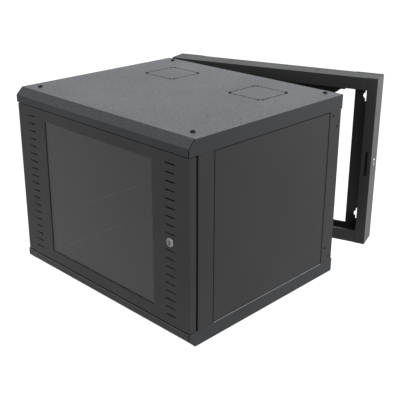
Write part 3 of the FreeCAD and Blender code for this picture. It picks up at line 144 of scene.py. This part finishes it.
def aim_camera():
    """Camera at the viewpoint and focal length of the photograph."""
    place = (0.72930, -1.94861, 0.67023)
    yaw, painted_shade, roll = -0.4626, 0.3562, 0.0036
    focal_pixels, picture_pixels, sensor = 750.716, 400.0, 36.0
    axis_x, axis_y = 199.105, 174.748
    forward = Vector((math.sin(yaw)*math.cos(painted_shade), math.cos(yaw)*math.cos(painted_shade), -math.sin(painted_shade)))
    level = Vector((math.cos(yaw), -math.sin(yaw), 0.0))
    upright = level.cross(forward)
    right = math.cos(roll)*level + math.sin(roll)*upright
    up = math.cos(roll)*upright - math.sin(roll)*level
    data = bpy.data.cameras.new("camera")
    data.sensor_width = sensor
    data.lens = focal_pixels/picture_pixels*sensor
    data.shift_x = (picture_pixels/2 - axis_x)/picture_pixels
    data.shift_y = (axis_y - picture_pixels/2)/picture_pixels
    data.clip_start, data.clip_end = 0.05, 60.0
    camera = bpy.data.objects.new("camera", data)
    turn = Matrix((right, up, -forward)).transposed().to_4x4()
    camera.matrix_world = Matrix.Translation(place) @ turn
    bpy.context.scene.collection.objects.link(camera)
    bpy.context.scene.camera = camera


def new_material(name):
    """Node material, its tree, and its Principled shader, which is linked to the output."""
    made = bpy.data.materials.new(name)
    made.use_nodes = True
    shader = made.node_tree.nodes["Principled BSDF"]
    return made, made.node_tree, shader


def link(tree, source, output, target, socket):
    """Link one node's output to another node's input."""
    tree.links.new(source.outputs[output], target.inputs[socket])


def add(tree, kind, **settings):
    """New node; each setting is one of its inputs if it has one of that name, else an attribute."""
    node = tree.nodes.new(kind)
    for name, amount in settings.items():
        if name in node.inputs:
            node.inputs[name].default_value = amount
        else:
            setattr(node, name, amount)
    return node


def noise(tree, source, output, **settings):
    """Noise texture on the coordinates that another node gives."""
    node = add(tree, "ShaderNodeTexNoise", **settings)
    link(tree, source, output, node, "Vector")
    return node


def remap(tree, source, output, before, after):
    """Node that carries one span of an output over to another span."""
    node = add(tree, "ShaderNodeMapRange")
    for name, amount in zip(("From Min", "From Max", "To Min", "To Max"), (*before, *after)):
        node.inputs[name].default_value = amount
    link(tree, source, output, node, "Value")
    return node


def two_tone(tree, shader, cloud, first, second):
    """Base colour that wanders between two tones with a noise."""
    shade = add(tree, "ShaderNodeMix", data_type="RGBA")
    shade.inputs["A"].default_value = (*first, 1.0)
    shade.inputs["B"].default_value = (*second, 1.0)
    link(tree, cloud, "Fac", shade, "Factor")
    link(tree, shade, "Result", shader, "Base Color")


def bumped(tree, shader, height, strength, distance):
    """Bump of a noise on the shader's normal; the distance is in millimetres."""
    bump = add(tree, "ShaderNodeBump", Strength=strength, Distance=distance*MM)
    link(tree, height, "Fac", bump, "Height")
    link(tree, bump, "Normal", shader, "Normal")
    return bump


def upward_share(tree):
    """Node that gives 1 on faces that look up, and 0 on upright ones and on those that look down; the mask
    of the painted top shading.
    """
    facing = add(tree, "ShaderNodeNewGeometry")
    parts = add(tree, "ShaderNodeSeparateXYZ")
    slope_span = (0.5, 1.0)
    link(tree, facing, "Normal", parts, "Vector")
    return remap(tree, parts, "Z", slope_span, WHOLE_SPAN)


def seen_share(tree):
    """Node that gives 1 to rays of the camera, through a pane or off a gloss, and 0 to the others."""
    path = add(tree, "ShaderNodeLightPath")
    direct = add(tree, "ShaderNodeMath", operation="MAXIMUM")
    link(tree, path, "Is Camera Ray", direct, 0)
    link(tree, path, "Is Transmission Ray", direct, 1)
    either = add(tree, "ShaderNodeMath", operation="MAXIMUM")
    link(tree, direct, "Value", either, 0)
    link(tree, path, "Is Glossy Ray", either, 1)
    return either


def powder_coat(name, colour, grain, relief, roughness=0.5, mottle=0.12, edge=0.9, specular=0.2,
                painted_top_shading=None):
    """Textured powder coat: fine bumps, a mottle, and edges rounded as on folded sheet.

    The mottle multiplies the colour by a factor about 1. When a top shading value is given, it does so on
    faces that look up only,
    and about that value instead: painted light on the tops above 1, painted shade on them below 1.
    """
    made, tree, shader = new_material(name)
    place = add(tree, "ShaderNodeTexCoord")
    bumps = noise(tree, place, "Object", Scale=grain, Detail=3.0, Roughness=0.6)
    cloud = noise(tree, place, "Object", Scale=6.0, Detail=2.0)
    noise_span, gloss_spread = (0.3, 0.7), 0.04
    middle = painted_top_shading or 1.0
    tint = remap(tree, bumps, "Fac", noise_span, (middle - mottle, middle + mottle))
    colours = add(tree, "ShaderNodeMix", data_type="RGBA", blend_type="MULTIPLY")
    colours.inputs["Factor"].default_value = 1.0
    colours.inputs["A"].default_value = (*colour, 1.0)
    link(tree, tint, "Result", colours, "B")
    link(tree, colours, "Result", shader, "Base Color")
    gloss = remap(tree, cloud, "Fac", noise_span, (roughness - gloss_spread, roughness + gloss_spread))
    link(tree, gloss, "Result", shader, "Roughness")
    rounded = add(tree, "ShaderNodeBevel", samples=4)
    rounded.inputs["Radius"].default_value = edge*MM
    bump = bumped(tree, shader, bumps, strength=relief, distance=0.3)
    link(tree, rounded, "Normal", bump, "Normal")
    # Painted shading: up-facing faces get about the given value times the colour, so they are painted
    # lighter than upright faces above 1 and darker below 1.
    if painted_top_shading:
        link(tree, upward_share(tree), "Result", colours, "Factor")
    shader.inputs["Specular IOR Level"].default_value = specular
    return made


def plated_metal(name, colour, roughness, streak, relief=0.12):
    """Plated or turned metal with fine brushed streaks."""
    made, tree, shader = new_material(name)
    place = add(tree, "ShaderNodeTexCoord")
    stretch = add(tree, "ShaderNodeMapping", Scale=streak)
    link(tree, place, "Object", stretch, "Vector")
    lines = noise(tree, stretch, "Vector", Scale=900.0, Detail=4.0)
    noise_span, smoother, rougher, darker = (0.25, 0.75), 0.7, 1.3, 0.86
    gloss = remap(tree, lines, "Fac", noise_span, (roughness*smoother, roughness*rougher))
    link(tree, gloss, "Result", shader, "Roughness")
    two_tone(tree, shader, lines, [darker*c for c in colour], colour)
    bumped(tree, shader, lines, strength=relief, distance=0.05)
    shader.inputs["Metallic"].default_value = 1.0
    return made


def rubber(name, colour, gloss=0.5):
    """Matte rubber with a fine mottle."""
    made, tree, shader = new_material(name)
    place = add(tree, "ShaderNodeTexCoord")
    grain = noise(tree, place, "Object", Scale=700.0, Detail=2.0)
    lighter = 1.6
    two_tone(tree, shader, grain, colour, [lighter*c for c in colour])
    shader.inputs["Roughness"].default_value = 0.8
    shader.inputs["Specular IOR Level"].default_value = gloss
    return made


def tinted_glass(name):
    """Dark toughened glass; a faint unevenness of the surface keeps reflections alive."""
    made, tree, shader = new_material(name)
    place = add(tree, "ShaderNodeTexCoord")
    wave = noise(tree, place, "Object", Scale=5.0, Detail=1.0)
    bumped(tree, shader, wave, strength=0.05, distance=1.0)
    two_tone(tree, shader, wave, (0.032, 0.0325, 0.033), (0.036, 0.0365, 0.037))
    shader.inputs["Alpha"].default_value = 0.68
    shader.inputs["Roughness"].default_value = 0.12
    shader.inputs["IOR"].default_value = 1.5
    return made


COAT = powder_coat("coat", (0.030, 0.030, 0.031), grain=650.0, relief=0.35)
# Painted light: up-facing faces of the covers get about 1.75 times the colour, lighter than the upright
# faces.
COVER_COAT = powder_coat("cover_coat", (0.0335, 0.0350, 0.0377), grain=270.0, relief=0.4, mottle=1.3,
                         edge=1.0, painted_top_shading=1.75)
DOOR_COAT = powder_coat("door_coat", (0.030, 0.030, 0.031), grain=750.0, relief=0.25, mottle=0.08,
                        edge=1.3)
# Painted shade: up-facing faces of the wall frame get about 0.3 times the colour, darker than its upright
# faces.
WALL_COAT = powder_coat("wall_coat", (0.030, 0.030, 0.031), grain=650.0, relief=0.3, specular=0.3,
                        painted_top_shading=0.3)
RAIL_COAT = powder_coat("rail_coat", (0.035, 0.035, 0.036), grain=700.0, relief=0.25)
ZINC = plated_metal("zinc", (0.62, 0.62, 0.60), 0.34, (1.0, 1.0, 0.08))
CHROME = plated_metal("chrome", (0.21, 0.21, 0.215), 0.16, (1.0, 1.0, 1.0), relief=0.04)
BLACK_STEEL = powder_coat("black_steel", (0.006, 0.006, 0.0065), grain=900.0, relief=0.1, roughness=0.35,
                          edge=0.3, specular=0.08)
# Near-white coat of the bars that paint highlights on inner edges.
INNER_HIGHLIGHT_COAT = powder_coat("inner_highlight_coat", (0.55, 0.55, 0.56), grain=650.0, relief=0.1, edge=0.2)
# Light coat of the hem bars: a painted highlight along the lower edges.
HEM_HIGHLIGHT_COAT = powder_coat("hem_highlight_coat", (0.20, 0.205, 0.215), grain=650.0, relief=0.1, roughness=0.3,
                       edge=0.2, specular=0.5)
SEAL = rubber("seal", (0.04, 0.04, 0.04), gloss=0.3)
PAD = rubber("pad", (0.02, 0.02, 0.02))
# Near-black finish of the marks that paint shade into slits, seams, gaps, holes and a keyhole.
PAINTED_SHADE = rubber("painted_shade", (0.003, 0.003, 0.003), gloss=0.0)
GLASS = tinted_glass("tinted_glass")


def dress(name, material):
    """Put one material on all of a solid's slots."""
    for holder in nodes[name].material_slots:
        holder.link = "OBJECT"
        holder.material = material


def finish_for(name):
    """Material of a solid, from its name."""
    if name == "door_glass":
        return GLASS
    if name == "glass_seal":
        return SEAL
    if name == "side_panel_buffers":
        return PAD
    if name.endswith("_cover"):
        return COVER_COAT
    if name == "door_frame":
        return DOOR_COAT
    if name.startswith("wall_frame"):
        return WALL_COAT
    if name.startswith(("rack_rail_", "depth_rail_")) and "screws" not in name:
        return RAIL_COAT
    if "screws" in name:
        return BLACK_STEEL
    if "lock_housing" in name or "lock_plug" in name:
        return CHROME
    if any(word in name for word in ("pin", "bracket", "arm", "stud", "nut", "cam")):
        return ZINC
    return COAT


def piece_from(bm, name, body, material, smooth_angle=35.0):
    """Turn a bmesh into a piece that rides on a body, with soft shading below the given angle."""
    bmesh.ops.recalc_face_normals(bm, faces=bm.faces)
    limit = math.radians(smooth_angle)
    for face in bm.faces:
        face.smooth = True
    for edge in bm.edges:
        edge.smooth = len(edge.link_faces) == 2 and edge.calc_face_angle(math.pi) < limit
    mesh = bpy.data.meshes.new(name)
    bm.to_mesh(mesh)
    bm.free()
    made = bpy.data.objects.new(name, mesh)
    bpy.context.scene.collection.objects.link(made)
    made.data.materials.append(material)
    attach(made, body)
    return made


def seat(place, outward, carry):
    """Matrix that puts a shape drawn along +Z on a place, with its axis pointing outward."""
    turn = outward.to_track_quat("Z", "Y").to_matrix().to_4x4()
    return carry @ Matrix.Translation(Vector(place)*MM) @ turn


def lathe(bm, profile, matrix, steps):
    """Revolve (radius, height) pairs in millimetres about the local Z axis."""
    rings = []
    for radius, height in profile:
        if radius == 0.0:
            rings.append([bm.verts.new(matrix @ Vector((0, 0, height*MM)))])
            continue
        ring = []
        for step in range(steps):
            turn = 2*math.pi*step/steps
            ring.append(bm.verts.new(matrix @ Vector((
                radius*MM*math.cos(turn), radius*MM*math.sin(turn), height*MM))))
        rings.append(ring)
    for low, high in zip(rings, rings[1:]):
        for step in range(steps):
            after = (step + 1) % steps
            corners = []
            for ring, index in ((low, step), (low, after), (high, after), (high, step)):
                corner = ring[index] if len(ring) > 1 else ring[0]
                if corner not in corners:
                    corners.append(corner)
            if len(corners) > 2:
                bm.faces.new(corners)


def cylinder(bm, matrix, radius, low, high, steps):
    """Plain round solid between two heights, in millimetres."""
    lathe(bm, [(0.0, low), (radius, low), (radius, high), (0.0, high)], matrix, steps)


def bar(bm, start, end, radius):
    """Round bar between two places in the swung section, in millimetres."""
    along, steps = Vector(end) - Vector(start), 16
    cylinder(bm, seat(start, along.normalized(), SWING), radius, 0.0, along.length, steps)


def block(bm, middle, size, carry):
    """Box with its middle and size in millimetres."""
    made = bmesh.ops.create_cube(bm, size=1.0)["verts"]
    spread = Matrix.Diagonal((*[length*MM for length in size], 1.0))
    bmesh.ops.transform(bm, matrix=carry @ Matrix.Translation(Vector(middle)*MM) @ spread, verts=made)


def socket_head(bm, matrix, radius, height, shank_radius, shank_length):
    """Dome-head screw with a hexagon socket and a plain shank."""
    key, mouth_level, floor_level = 0.42*radius, 0.98*height, height - 0.55*height
    tip_radius, tip_length, steps = 0.8*shank_radius, 0.8, 36
    lathe(bm, [
        (0.0, -shank_length), (tip_radius, -shank_length),
        (shank_radius, -shank_length + tip_length), (shank_radius, 0.0), (radius, 0.0),
        *[(share*radius, rise*height) for share, rise in DOME],
    ], matrix, steps)
    bm.verts.ensure_lookup_table()
    rim = list(bm.verts)[-steps:]
    per_side = steps//6
    outline = []
    for index in range(steps):
        side, along = divmod(index, per_side)
        first = math.radians(60.0*side)
        second = math.radians(60.0*(side + 1))
        share = along/per_side
        x = key*((1 - share)*math.cos(first) + share*math.cos(second))
        y = key*((1 - share)*math.sin(first) + share*math.sin(second))
        outline.append((x, y))
    mouth = [bm.verts.new(matrix @ Vector((x*MM, y*MM, mouth_level*MM))) for x, y in outline]
    floor = [bm.verts.new(matrix @ Vector((x*MM, y*MM, floor_level*MM))) for x, y in outline]
    for index in range(steps):
        after = (index + 1) % steps
        bm.faces.new((rim[index], rim[after], mouth[after], mouth[index]))
        bm.faces.new((mouth[index], mouth[after], floor[after], floor[index]))
    bm.faces.new(floor)


def screws(name, replaced, body, places, size, carry):
    """One piece with all the screws of a set; places are (position, outward direction)."""
    bm = bmesh.new()
    for place, outward in places:
        socket_head(bm, seat(place, outward, carry), *size)
    made = piece_from(bm, name, body, BLACK_STEEL)
    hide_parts(replaced)


def make_hole_shade():
    """Near-black blind inserts behind the empty holes of the rear post and the wall frame: painted shade in
    those holes.
    """
    sunk, steps = 0.1, 24
    post_radius, post_depth = 4.2, 8.0
    bm = bmesh.new()
    for y, z in POST_HOLES:
        cylinder(bm, seat((HALF_WIDTH - SHEET, y, z), RIGHT, SWING), post_radius, -post_depth, -sunk, steps)
    piece_from(bm, "post_hole_shade", "cabinet", PAINTED_SHADE)
    wall_radius, wall_depth = 3.6, 6.0
    bm = bmesh.new()
    for y, z in BRACKET_HOLES:
        cylinder(bm, seat((WALL_SIDE - SHEET, y, z), RIGHT, STILL), wall_radius, -wall_depth, -sunk, steps)
    piece_from(bm, "wall_hole_shade", "wall_frame", PAINTED_SHADE)


def make_slits():
    """Black strips and dots over the slits of the cable entries and the pierced ends of those slits:
    painted shade in them.
    """
    dot_radius, dot_low, dot_high, steps = 4.0, -1.0, 0.12, 16
    strip_width, strip_height = 2.6, 0.16
    line = ENTRY_SIZE/2 - ENTRY_SLIT/2
    end = ENTRY_SIZE/2 - ENTRY_CORNER - ENTRY_BRIDGE
    bm = bmesh.new()
    for side, out in ((1, UP), (-1, DOWN)):
        level = side*HALF_HEIGHT
        for middle in (-ENTRY_X, ENTRY_X):
            for across, along in ((line, end), (end, line)):
                for x in (-1, 1):
                    for y in (-1, 1):
                        place = (middle + x*across, ENTRY_Y + y*along, level)
                        cylinder(bm, seat(place, out, SWING), dot_radius, dot_low, dot_high, steps)
            for x in (-1, 1):
                block(bm, (middle + x*line, ENTRY_Y, level), (strip_width, 2*end, strip_height), SWING)
                block(bm, (middle, ENTRY_Y + x*line, level), (2*end, strip_width, strip_height), SWING)
    piece_from(bm, "entry_slit_shade", "cabinet", PAINTED_SHADE)
    sunk, size = 0.7, (1.9, 31.8, 1.0)
    slit = WALL_ENTRY_HALF - WALL_ENTRY_SLIT/2
    middle = WALL_FRONT + WALL_ENTRY_FRONT + WALL_ENTRY_WIDTH/2
    bm = bmesh.new()
    for x in (-slit, slit):
        for z in (WALL_HALF_HEIGHT - sunk, -WALL_HALF_HEIGHT + sunk):
            block(bm, (x, middle, z), size, STILL)
    piece_from(bm, "slit_shadows", "wall_frame", PAINTED_SHADE)


def make_seams():
    """Black bars that paint the shade in the seams at the covers' front corners, round the side panels and
    under the door.
    """
    inset, radius = SHEET + 0.45, 0.85
    face, bend_sunk, top_sunk = FRONT + 0.35, 0.05, 0.4
    bm = bmesh.new()
    for side in (-1, 1):
        lip_edge = side*(HALF_HEIGHT - COVER_LIP)
        bend_level = side*(HALF_HEIGHT - COVER_CHAMFER - bend_sunk)
        top_level = side*(HALF_HEIGHT - top_sunk)
        for x in (-HALF_WIDTH + inset, HALF_WIDTH - inset):
            bend = (x, face, bend_level)
            bar(bm, (x, face, lip_edge), bend, radius)
            bar(bm, bend, (x, FRONT + COVER_CHAMFER, top_level), radius)
    piece_from(bm, "cover_seam_shade", "cabinet", PAINTED_SHADE)
    inset, front_radius, rear_radius, top_radius = 2.1, 1.2, 0.7, 0.8
    front_gap = FRONT_POST_END + PANEL_FRONT_GAP/2
    rear_gap = REAR_POST_END - PANEL_REAR_GAP/2
    bm = bmesh.new()
    for x in (-HALF_WIDTH + inset, HALF_WIDTH - inset):
        bar(bm, (x, front_gap, -PANEL_END), (x, front_gap, PANEL_END), front_radius)
        bar(bm, (x, rear_gap, -PANEL_END), (x, rear_gap, PANEL_END), rear_radius)
        bar(bm, (x, front_gap, PANEL_END), (x, rear_gap, PANEL_END), top_radius)
    inset, sunk, raised, radius = 4.0, 0.1, 0.4, 1.1
    under_door = (FRONT + sunk, -HALF_HEIGHT + COVER_LIP + raised)
    bar(bm, (-HALF_WIDTH + inset, *under_door), (HALF_WIDTH - inset, *under_door), radius)
    piece_from(bm, "panel_gap_shade", "cabinet", PAINTED_SHADE)


def make_edges():
    """Rolled hems on the lower cover, coloured light as painted highlights, and light bars that paint
    highlights on the inner edges that show through the glass.
    """
    radius, front_inset, side_inset = 0.9, 3.0, 0.7
    hem_level = -HALF_HEIGHT + COVER_LIP - radius
    front_hem = (FRONT + 0.5, hem_level - 0.35)
    side_level, side_start, side_end = hem_level + 0.4, FRONT + 74.0, REAR - 48.5
    bm = bmesh.new()
    bar(bm, (-HALF_WIDTH + front_inset, *front_hem), (HALF_WIDTH - front_inset, *front_hem), radius)
    for x in (-HALF_WIDTH + side_inset, HALF_WIDTH - side_inset):
        bar(bm, (x, side_start, side_level), (x, side_end, side_level), radius)
    piece_from(bm, "lower_hem_highlights", "cabinet", HEM_HIGHLIGHT_COAT)
    # Each inner edge as distance from the middle, start, end and level.
    rail_edge = (261.8, FRONT + 71.5, REAR - 47.5, -109.5)
    floor_edge = (297.6, FRONT + 74.0, REAR - 50.0, -230.6)
    # Painted highlights: pale bars along the depth rails' and the floor's inner edges.
    bm = bmesh.new()
    for side in (-1, 1):
        for across, start, end, level in (rail_edge, floor_edge):
            bar(bm, (side*across, start, level), (side*across, end, level), radius)
    piece_from(bm, "painted_inner_highlights", "cabinet", INNER_HIGHLIGHT_COAT)


def make_screws():
    """Turned screws in place of the plain ones of the solids."""
    for side, name, out in ((1, "top_cover_screws", UP), (-1, "bottom_cover_screws", DOWN)):
        places = [((x*COVER_SCREW_X, y, side*HALF_HEIGHT), out) for x in (-1, 1) for y in COVER_SCREW_Y]
        screws(name + "_turned", name, "cabinet", places, COVER_SCREW, SWING)
    front_y, rear_y = FRONT_POST_END - SHEET, REAR_POST_END + SHEET
    for side, name in ((-1, "side_panel_screws_left"), (1, "side_panel_screws_right")):
        places = [((side*PANEL_SCREW_X, y, z), out) for y, out in ((front_y, TO_FRONT), (rear_y, TO_REAR))
                  for z in (-PANEL_SCREW_Z, PANEL_SCREW_Z)]
        screws(name + "_turned", name, "cabinet", places, SMALL_SCREW, SWING)
    places = [((side*RAIL_SCREW_X, y, z), out) for side, out in ((-1, RIGHT), (1, LEFT))
              for y in RAIL_SCREW_Y for z in (-RAIL_SCREW_Z, RAIL_SCREW_Z)]
    screws("rack_rail_screws_turned", "rack_rail_screws", "cabinet", places, SMALL_SCREW, SWING)
    leg_gauge = 3.0
    places = [((-HALF_WIDTH + SHEET + leg_gauge, y, z), RIGHT) for y, z in POST_HOLES]
    screws("hinge_arm_screws_turned", "hinge_arm_screws", "cabinet", places, ARM_SCREW, SWING)
    places = [((-WALL_SIDE, y, z), LEFT) for y, z in BRACKET_HOLES]
    screws("wall_bracket_screws_turned", "wall_bracket_screws", "wall_frame", places, SMALL_SCREW, STILL)


def lock_set(place, outward, carry, length, names, bodies):
    """Turned housing and plug of a cam lock, with a rounded head and a stepped keyhole filled by a
    near-black prism as painted shade.
    """
    matrix = seat(place, outward, carry)
    steps = 48
    bm = bmesh.new()
    lathe(bm, [
        (LOCK_BORE, -length), (LOCK_BARREL, -length), (LOCK_BARREL, 0.0), *HOUSING_FACE,
        (LOCK_BORE, HOUSING_FACE[-1][1]), (LOCK_BORE, -length),
    ], matrix, steps)
    housing = piece_from(bm, names[0] + "_turned", bodies[0], CHROME, LOCK_SMOOTH)
    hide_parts(names[0])
    bm = bmesh.new()
    lathe(bm, [
        (0.0, -length - CAM_SHEET), (PEG_RADIUS, -length - CAM_SHEET), (PEG_RADIUS, -length - CAM_PLAY),
        (PLUG_RADIUS, -length - CAM_PLAY), *PLUG_FACE,
    ], matrix, steps)
    plug = piece_from(bm, names[1] + "_turned", bodies[1], CHROME, LOCK_SMOOTH)
    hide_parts(names[1])
    # Painted shade: a near-black prism fills the keyhole, standing in for its dark depth.
    bm = bmesh.new()
    top = [bm.verts.new(matrix @ Vector((x*MM, y*MM, KEYHOLE_TOP*MM))) for x, y in KEYHOLE]
    low = [bm.verts.new(matrix @ Vector((x*MM, y*MM, KEYHOLE_FOOT*MM))) for x, y in KEYHOLE]
    bm.faces.new(top)
    for index in range(len(KEYHOLE)):
        after = (index + 1) % len(KEYHOLE)
        bm.faces.new((top[index], low[index], low[after], top[after]))
    piece_from(bm, names[1] + "_keyhole_shade", bodies[1], PAINTED_SHADE)


def make_locks():
    """The locks of the door and of the wall frame."""
    lock_set(DOOR_LOCK, TO_FRONT, SWING, DOOR_LOCK_LENGTH,
             ("door_lock_housing", "door_lock_plug"), ("door", "door_lock"))
    lock_set(WALL_LOCK, RIGHT, STILL, WALL_LOCK_LENGTH,
             ("wall_lock_housing", "wall_lock_plug"), ("wall_frame", "wall_lock"))


def stage_material(name, colour, seen):
    """Floor finish: plain for the light, and brighter where the camera or a gloss sees it."""
    made, tree, shader = new_material(name)
    shader.inputs["Base Color"].default_value = (*colour, 1.0)
    shader.inputs["Roughness"].default_value = 0.9
    scaled = add(tree, "ShaderNodeMath", operation="MULTIPLY")
    scaled.inputs[1].default_value = seen
    link(tree, seen_share(tree), "Value", scaled, 0)
    glow = add(tree, "ShaderNodeEmission")
    link(tree, scaled, "Value", glow, "Strength")
    mix = add(tree, "ShaderNodeAddShader")
    link(tree, shader, "BSDF", mix, 0)
    link(tree, glow, "Emission", mix, 1)
    link(tree, mix, "Shader", tree.nodes["Material Output"], "Surface")
    return made


def area_light(name, place, target, size, power):
    """Rectangular lamp that looks from its place at a target."""
    data = bpy.data.lights.new(name, "AREA")
    data.shape = "RECTANGLE"
    data.size, data.size_y = size
    data.energy = power
    lamp = bpy.data.objects.new(name, data)
    lamp.location = place
    direction = Vector(target) - Vector(place)
    lamp.rotation_mode = "QUATERNION"
    lamp.rotation_quaternion = direction.to_track_quat("-Z", "Y")
    bpy.context.scene.collection.objects.link(lamp)


def make_studio():
    """Floor, world and lamps."""
    scene = bpy.context.scene
    scene.view_settings.view_transform = "Standard"
    bm = bmesh.new()
    corners = [bm.verts.new((x*FLOOR_HALF, y*FLOOR_HALF, FLOOR_LEVEL))
               for x, y in ((-1, -1), (1, -1), (1, 1), (-1, 1))]
    bm.faces.new(corners)
    mesh = bpy.data.meshes.new("floor")
    bm.to_mesh(mesh)
    bm.free()
    floor = bpy.data.objects.new("floor", mesh)
    scene.collection.objects.link(floor)
    floor.data.materials.append(stage_material("floor", FLOOR_COLOUR, FLOOR_SEEN))
    world = bpy.data.worlds.new("studio")
    world.use_nodes = True
    scene.world = world
    tree = world.node_tree
    ground = tree.nodes["Background"]
    ground.inputs["Color"].default_value = WORLD_COLOUR
    strength = remap(tree, seen_share(tree), "Value", WHOLE_SPAN, (WORLD_LIGHT, WORLD_SEEN))
    link(tree, strength, "Result", ground, "Strength")
    for lamp in LAMPS:
        area_light(*lamp)


aim_camera()
make_studio()
for node_name in nodes:
    dress(node_name, finish_for(node_name))
make_screws()
make_hole_shade()
make_slits()
make_seams()
make_edges()
make_locks()
